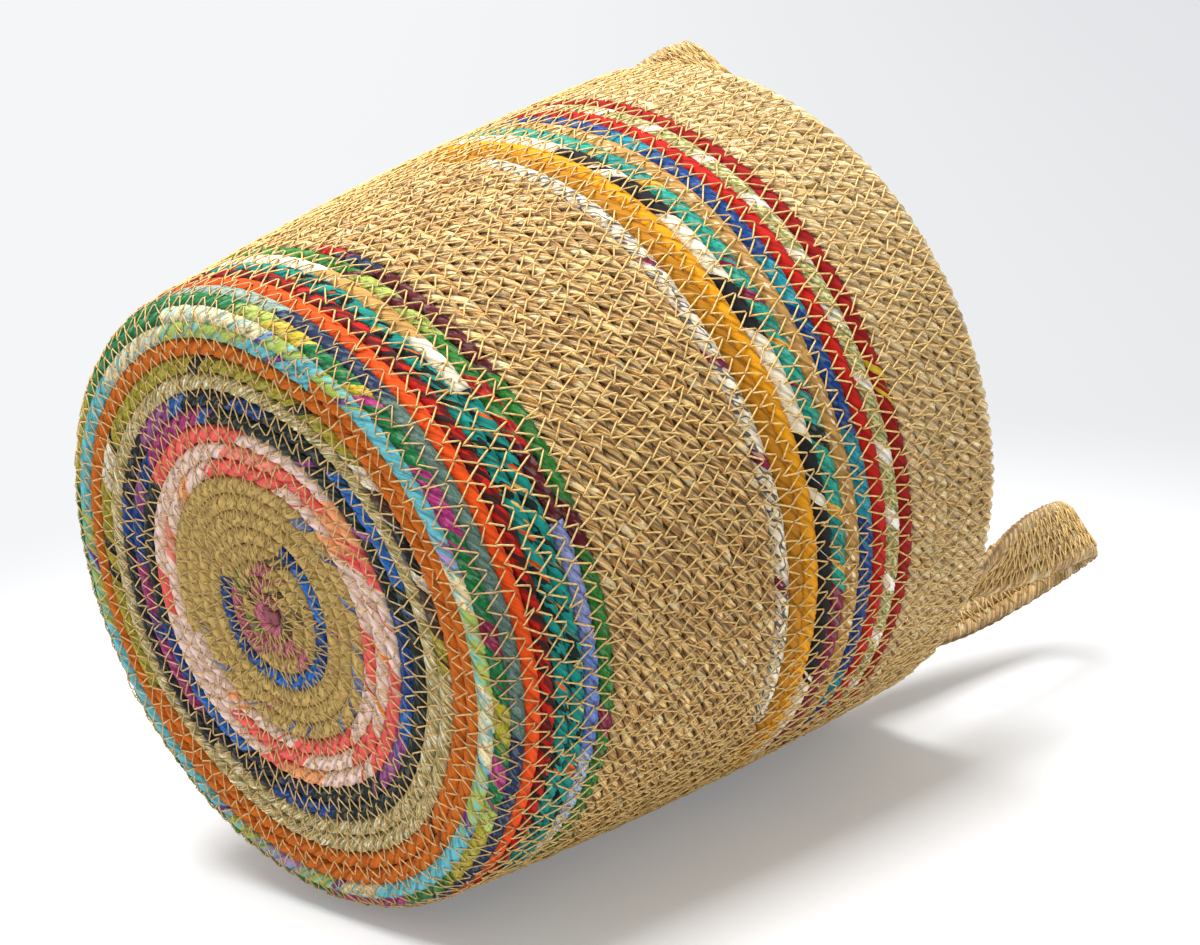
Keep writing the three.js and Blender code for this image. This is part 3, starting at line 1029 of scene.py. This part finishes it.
@dataclass(frozen=True)
class Cover:
    """One covering of the cord.

    turns is its length in turns. For a row, seen lists colours, each with the angle in degrees where it
    begins and, after a dash, the angle where the ground colour comes back. Angles fall along the cord: 90 is
    where the row's whole turn lies. back holds the colours of the side that the photograph doesn't show.
    """

    name: str
    turns: float
    ground: str
    seen: dict[int, str] = field(default_factory=dict)
    back: tuple[str, ...] = ()
    pattern: Print = Print.PLAIN
    twist: Twist = SMOOTH_TWIST

    def listed(self) -> list[tuple[float, str]]:
        """Turn where each colour in seen begins."""
        found = []
        for row, text in self.seen.items():
            for entry in text.split(", "):
                tint, angles = entry.split()
                for angle, shown in zip(angles.split("-"), (tint, self.ground)):
                    found.append((row + (90 - float(angle)) / 360, shown))
        return sorted(found)

    def colour_turns(self, start: float, seed: int) -> list[tuple[float, str]]:
        """Turn where each colour begins, from the covering's start on.

        Args:
            start: turn at which this covering begins.
            seed: number that sets the patches on the side that the photograph doesn't show.

        Returns:
            Turns in rising order with the names of the colours.
        """
        stops = [(start, self.ground)] + [stop for stop in self.listed() if stop[0] > start]
        ends = [turn for turn, _ in stops[1:]] + [start + self.turns]
        chance = np.random.default_rng(seed)
        filled = []
        for (turn, tint), end in zip(stops, ends):
            filled.append((turn, tint))
            place = turn + chance.uniform(*PATCH_LEADS)
            while self.back and end - turn > PATCH_ROOM and place < end - PATCH_LEADS[0]:
                filled.append((place, self.back[int(chance.integers(len(self.back)))]))
                place += chance.uniform(*PATCH_LENGTHS)
        return filled


BASE_COVERS = (
    Cover("centre_khaki_twine", 3.35, "khaki",
          {1: "magenta 60-300",
           2: "magenta 290, black 165-110, black 65-50, magenta 30",
           3: "black 350-320, green 290, magenta 255-150, black 110-96, magenta 40-10",
           4: "green 340, magenta 325, magenta 300-235, magenta 175-150, black 60-40"},
          pattern=Print.THREADED, twist=TWINE_TWIST),
    Cover("base_royal_blue_cloth", 0.75, "royal", {5: "bright_blue 230-150, bright_blue 110-70"},
          pattern=Print.MOTTLED),
    Cover("base_threaded_seagrass", 3.38, "khaki",
          {6: "magenta 115-111",
           7: "magenta 222-219, magenta 178-175",
           8: "royal 282-279, bright_blue 262-258, royal 235-231, bright_blue 213-208, royal 198-194, "
              "bright_blue 170-166, royal 155-151, bright_blue 140-136, royal 125-121, "
              "bright_blue 104-99, royal 84-80, bright_blue 66-58"},
          pattern=Print.THREADED, twist=TWINE_TWIST),
    Cover("base_coral_cloth", 2.84, "pink_white",
          {9: "pink_white 278, peach 250-240, coral 208-166, coral 132-112, peach 82-74, coral 48-5",
           10: "peach 350-340, salmon 325-310, coral 243-203, coral 172-153, orange_dab 143-141, "
               "orange_dab 120-118, coral 90, peach 85, coral 68, salmon 45-20",
           11: "coral 303-288, coral 225, peach 215-195, coral 165-123, coral 97, peach 83-67, coral 28"},
          twist=ROPE_TWIST),
    Cover("base_dark_print_cloth", 2.25, "black_green",
          {12: "royal 285, bright_blue 262, black 236, navy 218-205, orchid 168, bright_blue 145, "
               "royal 135-105, orchid 85-82, orchid 60-57, bright_blue 20, magenta 12",
           13: "royal 340, orchid 330, royal 322, magenta 305, royal 287, magenta 280, black 255, "
               "royal 222-196, bright_blue 98-66, royal 42, black 28, bright_blue 8",
           14: "orchid 360, black 342, royal 320, black 307"},
          pattern=Print.MOTTLED, twist=ROPE_TWIST),
    Cover("base_straw_speckle_cloth", 1.35, "straw", pattern=Print.SPECKLED, twist=ROPE_TWIST),
    Cover("base_olive_cloth", 0.59, "olive",
          {15: "brown 110, off_white 100, black 96, brown 84, off_white 76-68, black 55-50, black 20-16",
           16: "black 333, off_white 331-320, black 305-302, black 298-295"},
          pattern=Print.MOTTLED, twist=ROPE_TWIST),
    Cover("base_rust_cloth", 1.59, "rust", {16: "brown 161-159.5", 17: "brown 162-160"}, twist=ROPE_TWIST),
    Cover("corner_light_blue_cloth", 1.12, "light_blue",
          {17: "purple 45-42, lime 35, cream 10",
           18: "light_blue 345, lime 310, purple 300, lime 298-285, purple 240, lime 236, lilac 225, "
               "lime 215, purple 205, cream 202-190, purple 152, lime 150, purple 137, cream 135, "
               "lime 120, cream 105, lilac 98-92, purple 65, lime 62-55, lime 50, purple 42, cream 40"},
          pattern=Print.CLOUDED),
    Cover("corner_emerald_cloth", 1.13, "emerald",
          {19: "olive 155, lime 150-145, magenta 140-135, olive 130-122, wine 113-107, magenta 92-80, "
               "magenta 68, yellow 65-62, yellow 50, lime 41-32"},
          ("emerald", "emerald", "olive", "magenta", "green"),
          pattern=Print.MOTTLED, twist=ROPE_TWIST),
    Cover("corner_slate_cloth", 1.0, "pale_slate", {20: "navy 178, slate 130, navy 66-42, slate 10"},
          pattern=Print.MOTTLED),
    Cover("lower_orange_cloth", 1.0, "orange"),
    Cover("lower_red_slashed_cloth", 1.0, "bright_red", pattern=Print.SLASHED, twist=ROPE_TWIST),
    Cover("lower_teal_print_cloth", 1.7, "deep_teal", pattern=Print.LEAVES, twist=ROPE_TWIST),
    Cover("lower_white_tan_strip", 0.3, "off_white", {24: "tan 60-37"}),
    Cover("lower_periwinkle_cloth", 0.63, "off_white", {25: "grey_blue 155, periwinkle 140, lavender 118"},
          pattern=Print.MOTTLED, twist=ROPE_TWIST),
    Cover("lower_maroon_green_cloth", 1.19, "maroon",
          {25: "bright_red 84, green 80, bright_red 76, green 71, lime 62-55, lime 52-44, green 41, "
               "olive_green 10",
           26: "olive_green 175, green 165, wine 137, green 133-105, green 97-72, navy 43, "
               "bright_red 35"},
          ("green", "maroon", "green", "lime", "maroon"),
          pattern=Print.MOTTLED, twist=ROPE_TWIST),
)

BAND_COVERS = (
    Cover("band_cream_scribble_cloth", 0.34, "off_white",
          {39: "wine 125-123, wine 104-101.5, wine 87-85, wine 68-66.5"},
          pattern=Print.SCRIBBLED),
    Cover("band_dark_mustard_cloth", 1.18, "dark_mustard"),
    Cover("band_bright_mustard_cloth", 1.0, "mustard"),
    Cover("band_white_black_cloth", 1.0, "off_white",
          {42: "black 125-114, black 112-103, black 85-75, black 62-50, black 46-38"},
          ("off_white", "black", "off_white")),
    Cover("band_teal_print_cloth", 1.0, "teal",
          {43: "wine 152-129, gold 126, deep_teal 125, gold 117-115.5, black_green 105-102, wine 97-95, "
               "gold 89-87.5, wine 81-79, wine 74-72.5, gold 56, deep_teal 54, gold 44-42.5"},
          ("teal", "wine", "teal", "gold", "teal"),
          pattern=Print.MOTTLED),
    Cover("band_tan_dotted_cloth", 1.0, "tan", pattern=Print.DOTTED),
    Cover("band_royal_blue_cloth", 1.0, "royal",
          {45: "royal 150, turquoise 120-106, turquoise 84-76, turquoise 48-40"},
          ("royal", "turquoise", "royal"),
          pattern=Print.MOTTLED),
    Cover("band_bright_red_cloth", 1.0, "bright_red"),
    Cover("band_pale_green_cloth", 1.0, "pale_green", pattern=Print.PALE_SLASHED),
    Cover("band_dark_red_cloth", 1.0, "dark_red", {48: "yellow 103-102, yellow 99-97.5"}, twist=ROPE_TWIST),
)

# Each finish's groove colour and depths set its painted shade; the lower wall's is the deepest.
LOWER_GRASS = GrassFinish(
    "lower_wall_grass", light="#FFE2A2", middle="#E6B664", dark="#AE7032", groove_shade="#442A10",
)
UPPER_GRASS = GrassFinish(
    "upper_wall_grass", light="#FFEDBC", middle="#F6D99C", dark="#D8AC68", groove_shade="#80582C",
    gap_shade_depth=0.5, groove_shade_depth=0.7,
)
STRAP_GRASS = GrassFinish(
    "strap_grass", light="#F0CE94", middle="#D4AE6C", dark="#B4884C", groove_shade="#6A4A28",
    gap_shade_depth=0.5, groove_shade_depth=0.5, seam_shade_depth=0.75,
)


@dataclass
class CoveredCord:
    """The coiled cord of the base and wall, one piece for each covering."""

    coil: Coil
    effects: Effects
    body: CordBody = field(default_factory=CordBody)
    grass_turns: float = 12.66
    end_flattening: float = 0.3
    base_seed: int = 10
    band_seed: int = 50

    def lay(self, name: str, start: float, end: float, twist: Twist, seed: int) -> Piece:
        """Builds the cord from one turn to another, rides it on the basket and hides the CAD node.

        Args:
            name: name of the CAD node.
            start: turn at which the piece begins.
            end: turn at which it ends.
            twist: lay of the plies.
            seed: number that sets the unevenness.

        Returns:
            The piece.
        """
        first, last = self.coil.length_at(start), self.coil.length_at(end)
        run = np.linspace(first, last, int((last - first) / twist.step) + 2)
        turns = self.coil.turn_at(run)
        centre, across, outward, half_width = self.coil.frames(turns)
        half_thickness = self.coil.thickness / 2 * (1 - self.end_flattening * self.coil.thinning(turns))
        sizes = (half_width, half_thickness)
        made = self.body.build(f"{name}_cord", (centre, across, outward), sizes, run - first, twist, seed)
        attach(made, "basket")
        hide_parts(name)
        log.info("%s: turns %.2f to %.2f", made.name, start, end)
        return made

    def lay_cloths(self, covers: tuple[Cover, ...], start: float, seed: int) -> float:
        """Builds a run of cloth coverings.

        Args:
            covers: coverings in order along the cord.
            start: turn at which the first begins.
            seed: number that sets the unevenness.

        Returns:
            The turn at which the last one ends.
        """
        turn = start
        for number, cover in enumerate(covers, seed):
            end = turn + cover.turns
            made = self.lay(cover.name, turn, end, cover.twist, number)
            origin = self.coil.length_at(turn)
            colours = cover.colour_turns(turn, number)
            stops = [(float(self.coil.length_at(place) - origin), tint) for place, tint in colours]
            finish = ClothFinish(f"{cover.name}_finish", cover.pattern)
            # Threaded coverings: weaker painted fold shade and deeper painted shade along the row seams.
            if cover.pattern is Print.THREADED:
                finish = replace(finish, fold_shade_depth=0.16, fold_bump=0.25, seam_shading=0.75)
            made.data.materials.append(finish.material(self.effects, stops))
            turn = end
        return turn

    def lay_grass(self, name: str, start: float, end: float, twist: Twist, finish: GrassFinish) -> None:
        """Builds a length of bare seagrass."""
        made = self.lay(name, start, end, twist, int(start))
        made.data.materials.append(finish.material(self.effects))

    def build(self) -> None:
        """Builds every covering from the middle of the base to the rim."""
        grass_start = self.lay_cloths(BASE_COVERS, self.coil.first_turn, self.base_seed)
        grass_end = grass_start + self.grass_turns
        self.lay_grass("lower_wall_seagrass", grass_start, grass_end, GRASS_TWIST, LOWER_GRASS)
        upper_start = self.lay_cloths(BAND_COVERS, grass_end, self.band_seed)
        last = self.coil.last_turn
        self.lay_grass("upper_wall_seagrass", upper_start, last, FINE_GRASS_TWIST, UPPER_GRASS)


@dataclass
class CoilSewing:
    """The zigzag seam that joins each row of the coil to the next, seen on the outside and on the inside.

    stitch_millimetres is the length of a zigzag at each turn in stitch_turns.
    """

    coil: Coil
    thin_thread: Thread
    thread: Thread
    slanted_share: float = 0.58
    matched_from: float = 20.35
    matched_turns: float = 4.0
    samples_per_turn: int = 720
    first_seed: int = 100
    stitch_turns: tuple[float, ...] = (1, 3, 7, 10, 15, 20, 25, 29, 37, 40, 48, 50)
    stitch_millimetres: tuple[float, ...] = (2.8, 3.4, 4.4, 5.4, 6.2, 6.8, 6.4, 5.1, 5.1, 6.0, 6.0, 5.0)
    zone_turns: tuple[float, ...] = (1.0, 8.4, 20.35, 29.0, 38.83, 48.35)
    zone_names: tuple[str, ...] = ("centre", "base", "lower_wall", "middle_wall", "band", "upper_wall")

    def per_turn(self, turn: Array) -> Array:
        """Zigzags to a turn of the seam.

        The zigzags are shorter near the middle and near the rim. On the wall their number stays the same for
        a few turns at a time, and is a whole number plus the slant of a leg. So each tip meets the tip of the
        next seam on the row between them.
        """
        group = np.floor((turn - self.matched_from) / self.matched_turns) + 0.5
        place = np.where(turn < self.matched_from, turn, self.matched_from + group * self.matched_turns)
        length = self.coil.length_at(place + 1) - self.coil.length_at(place)
        count = length / (np.interp(place, self.stitch_turns, self.stitch_millimetres) / 1000)
        return np.where(turn < self.matched_from, count, np.floor(count) + self.slanted_share)

    def tips(self, start: float, end: float, side: float) -> tuple[Array, Array]:
        """Tips of the zigzags in order: one on a row's crown, the next on the crown of the row beyond.

        Args:
            start: turn of the row on the base side at which the seam begins.
            end: turn at which it ends.
            side: 1 for the outside of the basket, -1 for its inside.

        Returns:
            Points, and the directions away from the basket's surface.
        """
        grid = np.linspace(start, end, int((end - start) * self.samples_per_turn))
        steps = np.diff(grid) * self.per_turn((grid[1:] + grid[:-1]) / 2)
        counted = np.concatenate([[0.0], np.cumsum(steps)])
        whole = np.arange(int(counted[-1]))
        near = np.interp(whole, counted, grid)
        far = np.interp(whole + self.slanted_share, counted, grid) + 1
        turns = np.minimum(np.stack([near, far], axis=1).ravel(), self.coil.last_turn)
        points, _, outward, _ = self.coil.frames(turns, side * self.coil.thickness / 2)
        return points, outward * side

    def build(self, centre: Material, base: Material, wall: Material) -> None:
        """Builds the seams on both sides of the basket, in three tones of thread from the centre outward; the
        darker centre and base tones are the thread's own browner tone plus painted shade.
        """
        threads = [(self.thin_thread, centre), (self.thin_thread, base)] + [(self.thread, wall)] * 4
        ends = (*self.zone_turns[1:], self.coil.last_turn - 1)
        zones = list(zip(self.zone_names, self.zone_turns, ends, threads))
        for side, place in ((1.0, "outside"), (-1.0, "inside")):
            for number, (zone, start, end, (thread, material)) in enumerate(zones, self.first_seed):
                made = thread.build(f"sewing_{place}_{zone}", [self.tips(start, end, side)], number)
                made.data.materials.append(material)
                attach(made, "basket")
                log.info("%s: %d faces", made.name, len(made.data.polygons))


@dataclass
class StrapHandle:
    """A strap of four sewn rows: it rises from inside the wall, arches, and goes down inside it again."""

    letter: str
    facing: float
    lean: float
    hinge_reach: float
    coil: Coil
    leg_spacing: float = 0.068
    arch_height: float = 0.098
    squareness: float = 0.9
    rows: int = 4
    row_pitch: float = 0.0059
    row_swell: float = 0.52
    thickness: float = 0.005
    foot_depth: float = 0.024
    wall_gap: float = 0.0004
    flex_rise: float = 0.006
    flex_reach: float = 0.006
    twist_sharpness: float = 3.5
    tangent_step: float = 0.0005
    arch_samples: int = 240
    foot_samples: int = 20
    rise_samples: int = 6
    smoothed_over: int = 5
    stitch: float = 0.0040
    row_stagger: float = 0.3
    first_seed: int = 80
    sewing_seed: int = 90
    body: CordBody = field(default_factory=CordBody)

    def arch(self, share: Array) -> Array:
        """Middle line above the flex line: half spacing times sine, height times cosine to a power."""
        angle = share * QUARTER_TURN
        height = self.arch_height * np.maximum(np.cos(angle), 1e-9) ** self.squareness - self.flex_rise
        return np.stack([np.zeros_like(share), self.leg_spacing / 2 * np.sin(angle), height], axis=-1)

    def foot_line(self, beside: float) -> Array:
        """Points of a sewn foot from its lower end to just under the flex line, inside the wall."""
        distance = self.coil.outline.length - np.linspace(self.foot_depth, 0, self.foot_samples)
        radius, height, _, _ = self.coil.outline.at(distance, self.coil.thickness)
        reach = np.sqrt(radius**2 - beside**2) - self.thickness / 2 - self.wall_gap
        rising = np.linspace(0, 1, self.rise_samples)[1:-1]
        smooth = rising**2 * (3 - 2 * rising)
        reach = np.concatenate([reach, reach[-1] + smooth * (self.hinge_reach - reach[-1])])
        heights = np.concatenate([height, height[-1] + rising * self.flex_rise])
        return np.stack([reach, np.full(len(reach), beside), heights], axis=-1)

    def row_path(self, row: int, step: float) -> tuple[Array, ...]:
        """Middle line of a row from foot to foot, with its directions.

        At the flex line the strap faces the wall. From there to the top it twists a quarter turn, by the
        share of the way raised to the twist sharpness, so it lies flat at the top.

        Args:
            row: number of the row from 0, outermost, to the one nearest the opening.
            step: distance between points.

        Returns:
            Points, directions across the strap toward its opening, outward directions, and distances.
        """
        offset = (row - (self.rows - 1) / 2) * self.row_pitch
        end = math.acos((self.flex_rise / self.arch_height) ** (1 / self.squareness)) / QUARTER_TURN
        share = end * np.sin(np.linspace(-QUARTER_TURN, QUARTER_TURN, self.arch_samples))
        ahead = unit_rows(self.arch(share + self.tangent_step) - self.arch(share - self.tangent_step))
        outward = np.array([1.0, 0.0, 0.0])
        inward = np.cross(ahead, outward)
        twist = ((1 - (np.abs(share) / end) ** self.twist_sharpness) * QUARTER_TURN)[:, None]
        across = inward * np.cos(twist) + outward * np.sin(twist)
        lean = np.array(Matrix.Rotation(self.lean, 3, "Y")).T
        hinge = np.array([self.hinge_reach, 0.0, self.coil.outline.rim_height + self.flex_rise])
        middle = (self.arch(share) + across * offset) @ lean + hinge
        beside = self.leg_spacing / 2 - offset
        left, right = self.foot_line(-beside), self.foot_line(beside)[::-1]
        line = np.concatenate([left, middle[2:-2], right])
        toward = np.tile([0.0, 1.0, 0.0], (len(left), 1))
        across = np.concatenate([toward, (across @ lean)[2:-2], -toward])
        run = distances_along(line)
        even = np.linspace(0, run[-1], int(run[-1] / step) + 2)
        return self.settle(along_path(even, run, line), along_path(even, run, across), even)

    def settle(self, line: Array, across: Array, run: Array) -> tuple[Array, ...]:
        """Smooths a row's line, squares its directions and turns it to face its side of the basket."""
        smooth = line.copy()
        weights = np.ones(self.smoothed_over) / self.smoothed_over
        for part in range(3):
            smooth[2:-2, part] = np.convolve(line[:, part], weights, "valid")
        ahead = unit_rows(np.gradient(smooth, axis=0))
        across = unit_rows(across - ahead * np.sum(across * ahead, axis=1, keepdims=True))
        outward = np.cross(across, ahead)
        turn = np.array(Matrix.Rotation(self.facing, 3, "Z")).T
        return smooth @ turn, across @ turn, outward @ turn, run

    def hold(self, made: Piece, material: Material) -> None:
        """Gives a piece its material, and bakes its placement into its points."""
        made.data.materials.append(material)
        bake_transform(made)

    def build(self, grass: Material, thread: Thread, sewing: Material) -> None:
        """Builds the four rows and the seams between them, on both faces of the strap."""
        paths = [self.row_path(row, STRAP_TWIST.step) for row in range(self.rows)]
        for row, path in enumerate(paths):
            number = self.rows - row
            count = len(path[0])
            sizes = (np.full(count, self.row_pitch * self.row_swell), np.full(count, self.thickness / 2))
            name = f"handle_{self.letter}_row_{number}"
            made = self.body.build(name, path[:3], sizes, path[3], STRAP_TWIST, self.first_seed + row)
            self.hold(made, grass)
            parts = ("strap", "left_foot", "right_foot")
            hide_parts(*(f"handle_{self.letter}_{part}_{number}" for part in parts))
            log.info("%s: %.0f mm of cord", name, path[3][-1] * 1000)
        gaps = range(self.rows - 1)
        seams = [self.seam(paths[row], paths[row + 1], side, row) for row in gaps for side in (1.0, -1.0)]
        self.hold(thread.build(f"handle_{self.letter}_sewing", seams, self.sewing_seed), sewing)

    def seam(self, near: tuple, far: tuple, side: float, row: int) -> tuple[Array, Array]:
        """Tips of the zigzag between two rows, alternately on each, on one face of the strap."""
        zigzags = int(near[3][-1] / self.stitch)
        shares = (np.arange(2 * zigzags) + 0.5 + self.row_stagger * row) / (2 * zigzags + 1)
        points, normals = np.empty((len(shares), 3)), np.empty((len(shares), 3))
        for first, (line, _, outward, run) in enumerate((near, far)):
            place = shares[first::2] * run[-1]
            points[first::2] = along_path(place, run, line + side * outward * self.thickness / 2)
            normals[first::2] = along_path(place, run, side * outward)
        return points, normals


@dataclass
class StartKnot:
    """The folded start of the cord: a flat bun with three swirling folds, closed at both poles."""

    coil: Coil
    overlap: float = 0.0003
    height: float = 0.005
    folds: int = 3
    fold_turn: float = 3.0
    fold_shade_depth: float = 0.07
    side_power: float = 0.45
    level_power: float = 0.8
    rings: int = 14
    sides: int = 60

    def build(self, effects: Effects) -> None:
        """Builds the knot in place of its CAD node.

        Its reach is the sine of the way down to a power, swelled by folds that turn with the way down.
        Its edge follows the inner edge of the first turn, so it has a tail that fills the room beside it.
        """
        down = np.linspace(0, math.pi, self.rings + 2)[1:-1][:, None]
        around = np.linspace(0, FULL_TURN, self.sides, endpoint=False)[None, :]
        swirl = np.cos(self.folds * around + self.fold_turn * down)
        turn = (self.coil.whole_turn_angle / 360 - around / FULL_TURN) % 1
        edge = np.maximum(self.coil.lower_pitch * turn, self.coil.knot_edge) + self.overlap
        reach = edge * np.sin(down) ** self.side_power * (1 - self.fold_shade_depth * (1 - swirl))
        level = self.height / 2 * (1 + np.sign(np.cos(down)) * np.abs(np.cos(down)) ** self.level_power)
        body = [reach * np.cos(around), reach * np.sin(around), np.broadcast_to(level, reach.shape)]
        body = np.stack(body, axis=-1).reshape(-1, 3)
        points = np.concatenate([body, [[0, 0, self.height], [0, 0, 0]]])
        faces = ring_faces(self.rings, self.sides).tolist()
        top, bottom = len(body), len(body) + 1
        last = (self.rings - 1) * self.sides
        for side in range(self.sides):
            beside = (side + 1) % self.sides
            faces.append([top, side, beside])
            faces.append([bottom, last + beside, last + side])
        made = mesh_object("centre_start_knot_twine", points, faces)
        point_values(made, "strand", points)
        point_values(made, "ply", np.concatenate([(0.5 + 0.5 * swirl).ravel(), [1.0, 1.0]]))
        made.data.uv_layers.new(name="wrap")
        finish = ClothFinish("centre_start_knot_finish", Print.THREADED)
        made.data.materials.append(finish.material(effects, [(-0.01, "khaki"), (0.01, "magenta")]))
        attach(made, "basket")
        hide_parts("centre_start_knot")
        log.info("%s: %d faces", made.name, len(faces))


@dataclass
class Studio:
    """Pale floor that the basket lies on, white surroundings, soft light, and the camera."""

    coil: Coil
    contact_angle: float = 45.0
    contact_gap: float = 0.0006
    floor_size: float = 30.0
    floor_glow: float = 0.22
    glow_from: float = 0.08
    glow_full: float = 0.5
    white_until: float = -0.06
    grey_from: float = -0.24
    pale_left: float = -0.2
    grey_right: float = 0.9
    sky_strength: float = 0.37
    lamp_aim: float = 0.12
    lens: float = 87.3
    camera_place: tuple[float, float, float] = (0.2728, -0.7312, -0.4925)
    camera_right: tuple[float, float, float] = (0.61081, -0.38235, 0.69337)
    camera_up: tuple[float, float, float] = (-0.74627, -0.57055, 0.34280)
    camera_back: tuple[float, float, float] = (0.26455, -0.72685, -0.63382)

    def floor_plane(self) -> tuple[Vector, Vector]:
        """Point and upward direction of the floor, which touches the wall where the basket lies on it."""
        profile = self.coil.outline
        rise = profile.rim_height - profile.corner_radius
        lean = math.atan2(profile.mouth_radius - profile.flat_radius - profile.corner_radius, rise)
        place = int(np.argmax(profile.radii * math.cos(lean) - profile.heights * math.sin(lean)))
        angle = math.radians(self.contact_angle)
        aside = Vector((math.cos(angle), math.sin(angle), 0))
        point = aside * (profile.radii[place] + self.contact_gap) + Vector((0, 0, profile.heights[place]))
        up = Vector((0, 0, math.sin(lean))) - aside * math.cos(lean)
        return point, up.normalized()

    def axes(self) -> tuple[Vector, Vector, Vector]:
        """Level directions of the floor to the viewer's right and toward the viewer, and straight up."""
        up = self.floor_plane()[1]
        right = Vector(self.camera_right)
        right = (right - up * right.dot(up)).normalized()
        return right, right.cross(up), up

    def build_floor(self) -> None:
        """Lays one large face as the floor. From behind it lets all light through."""
        point, _ = self.floor_plane()
        right, toward, up = self.axes()
        half = self.floor_size / 2
        ways = ((-1, -1), (1, -1), (1, 1), (-1, 1))
        corners = [point + right * across * half + toward * along * half for across, along in ways]
        if (corners[1] - corners[0]).cross(corners[2] - corners[1]).dot(up) < 0:
            corners.reverse()
        floor = mesh_object("floor", np.array([list(corner) for corner in corners]), [[0, 1, 2, 3]])
        made, bench, shader = new_material("pale_floor")
        bench.feed(shader, {"Base Color": "#EEEFF1", "Roughness": 0.6, "Specular IOR Level": 0.2})
        place = bench.add("ShaderNodeTexCoord").outputs["Object"]
        seen = bench.add("ShaderNodeEmission", {"Color": self.backdrop(bench, place, right, toward)})
        path = bench.add("ShaderNodeLightPath").outputs["Is Camera Ray"]
        spread = bench.ramp(bench.measure("DISTANCE", place, point), self.glow_from, self.glow_full)
        share = bench.times(path, bench.scaled(spread, 1.0 - self.floor_glow, self.floor_glow))
        front = bench.mix_shaders(share, shader, seen)
        behind = bench.add("ShaderNodeNewGeometry").outputs["Backfacing"]
        both = bench.mix_shaders(behind, front, bench.add("ShaderNodeBsdfTransparent"))
        bench.feed(made.node_tree.nodes["Material Output"], {"Surface": both.outputs[0]})
        floor.data.materials.append(made)

    def backdrop(self, bench: Bench, place: Socket, right: Vector, toward: Vector) -> Socket:
        """Colour of the far floor: white near the basket, then a pale grey, deeper to the right, that paints
        the fall-off of light.
        """
        ahead, aside = (bench.measure("DOT_PRODUCT", place, way) for way in (toward, right))
        # Painted shade: the far floor greys away from the basket and more to the right.
        grey = bench.mix(bench.ramp(aside, self.pale_left, self.grey_right), "#F5F6F8", "#DFE1E4")
        return bench.mix(bench.ramp(ahead, self.white_until, self.grey_from), "#FDFDFD", grey)

    def build_world(self) -> None:
        """Soft white light from all round. The camera and mirrors see it as the pale backdrop."""
        world = bpy.data.worlds.new("studio")
        world.use_nodes = True
        bpy.context.scene.world = world
        bench = Bench(world.node_tree)
        light = world.node_tree.nodes["Background"]
        bench.feed(light, {"Color": "#FFFAF0", "Strength": self.sky_strength})
        seen = bench.add("ShaderNodeBackground", {"Color": "#EEF0F3", "Strength": 1.0})
        path = bench.add("ShaderNodeLightPath").outputs
        plainly = bench.maths("MAXIMUM", path["Is Camera Ray"], path["Is Glossy Ray"])
        plainly = bench.maths("MAXIMUM", plainly, path["Is Transmission Ray"])
        both = bench.mix_shaders(plainly, light, seen)
        bench.feed(world.node_tree.nodes["World Output"], {"Surface": both.outputs[0]})

    def build_lamp(self, name: str, way: tuple[float, float, float], size: float, watts: float) -> None:
        """Hangs a square soft lamp. way is how far it lies to the right, toward the viewer, and up."""
        centre = Vector((0, 0, self.lamp_aim))
        place = centre.copy()
        for direction, distance in zip(self.axes(), way):
            place += direction * distance
        data = set_all(bpy.data.lights.new(name, "AREA"), shape="SQUARE", size=size, energy=watts)
        facing = (centre - place).to_track_quat("-Z", "Y")
        lamp = new_object(name, data)
        set_all(lamp, location=place, rotation_mode="QUATERNION", rotation_quaternion=facing)

    def build_camera(self) -> None:
        """Places the camera at the photograph's viewing angle."""
        data = bpy.data.cameras.new("camera")
        set_all(data, lens=self.lens, sensor_width=36.0, clip_start=0.01, clip_end=50.0)
        camera = new_object("camera", data)
        axes = Matrix((self.camera_right, self.camera_up, self.camera_back)).transposed()
        camera.matrix_world = Matrix.Translation(self.camera_place) @ axes.to_4x4()
        bpy.context.scene.camera = camera

    def build(self) -> None:
        """Builds the floor, the light and the camera."""
        bpy.context.scene.view_settings.view_transform = "Standard"
        self.build_floor()
        self.build_world()
        self.build_lamp("key_lamp", (-0.25, 0.0, 1.7), 1.3, 66.0)
        self.build_lamp("front_lamp", (0.7, 1.7, 0.8), 1.4, 4.0)
        self.build_camera()


def main() -> None:
    """Builds the studio and each sub-assembly."""
    effects = Effects()
    coil = Coil(Outline())
    Studio(coil).build()
    StartKnot(coil).build(effects)
    CoveredCord(coil, effects).build()
    thread = Thread()
    # The darker centre and base thread tones hold painted shade, as the base lies out of the key light, on
    # top of the thread's browner tone there.
    centre_sewing_with_shade = ThreadFinish("centre_thread_with_shade", light="#BCA060", dark="#866A38").material(effects)
    sewing = ThreadFinish("wall_thread", light="#E6C884", dark="#B48C48").material(effects)
    base_sewing_with_shade = ThreadFinish("base_thread", light="#D6B478", dark="#A07E48").material(effects)
    thin_thread = Thread(radius=0.00026, tip_scatter=0.0006)
    CoilSewing(coil, thin_thread, thread).build(centre_sewing_with_shade, base_sewing_with_shade, sewing)
    strap_grass = STRAP_GRASS.material(effects)
    handle_a = StrapHandle("a", math.radians(8), math.radians(2), 0.106598, coil)
    handle_b = StrapHandle("b", math.pi, math.radians(8), 0.107811, coil)
    for handle in (handle_a, handle_b):
        handle.build(strap_grass, thread, sewing)


if __name__ == "__main__":
    main()
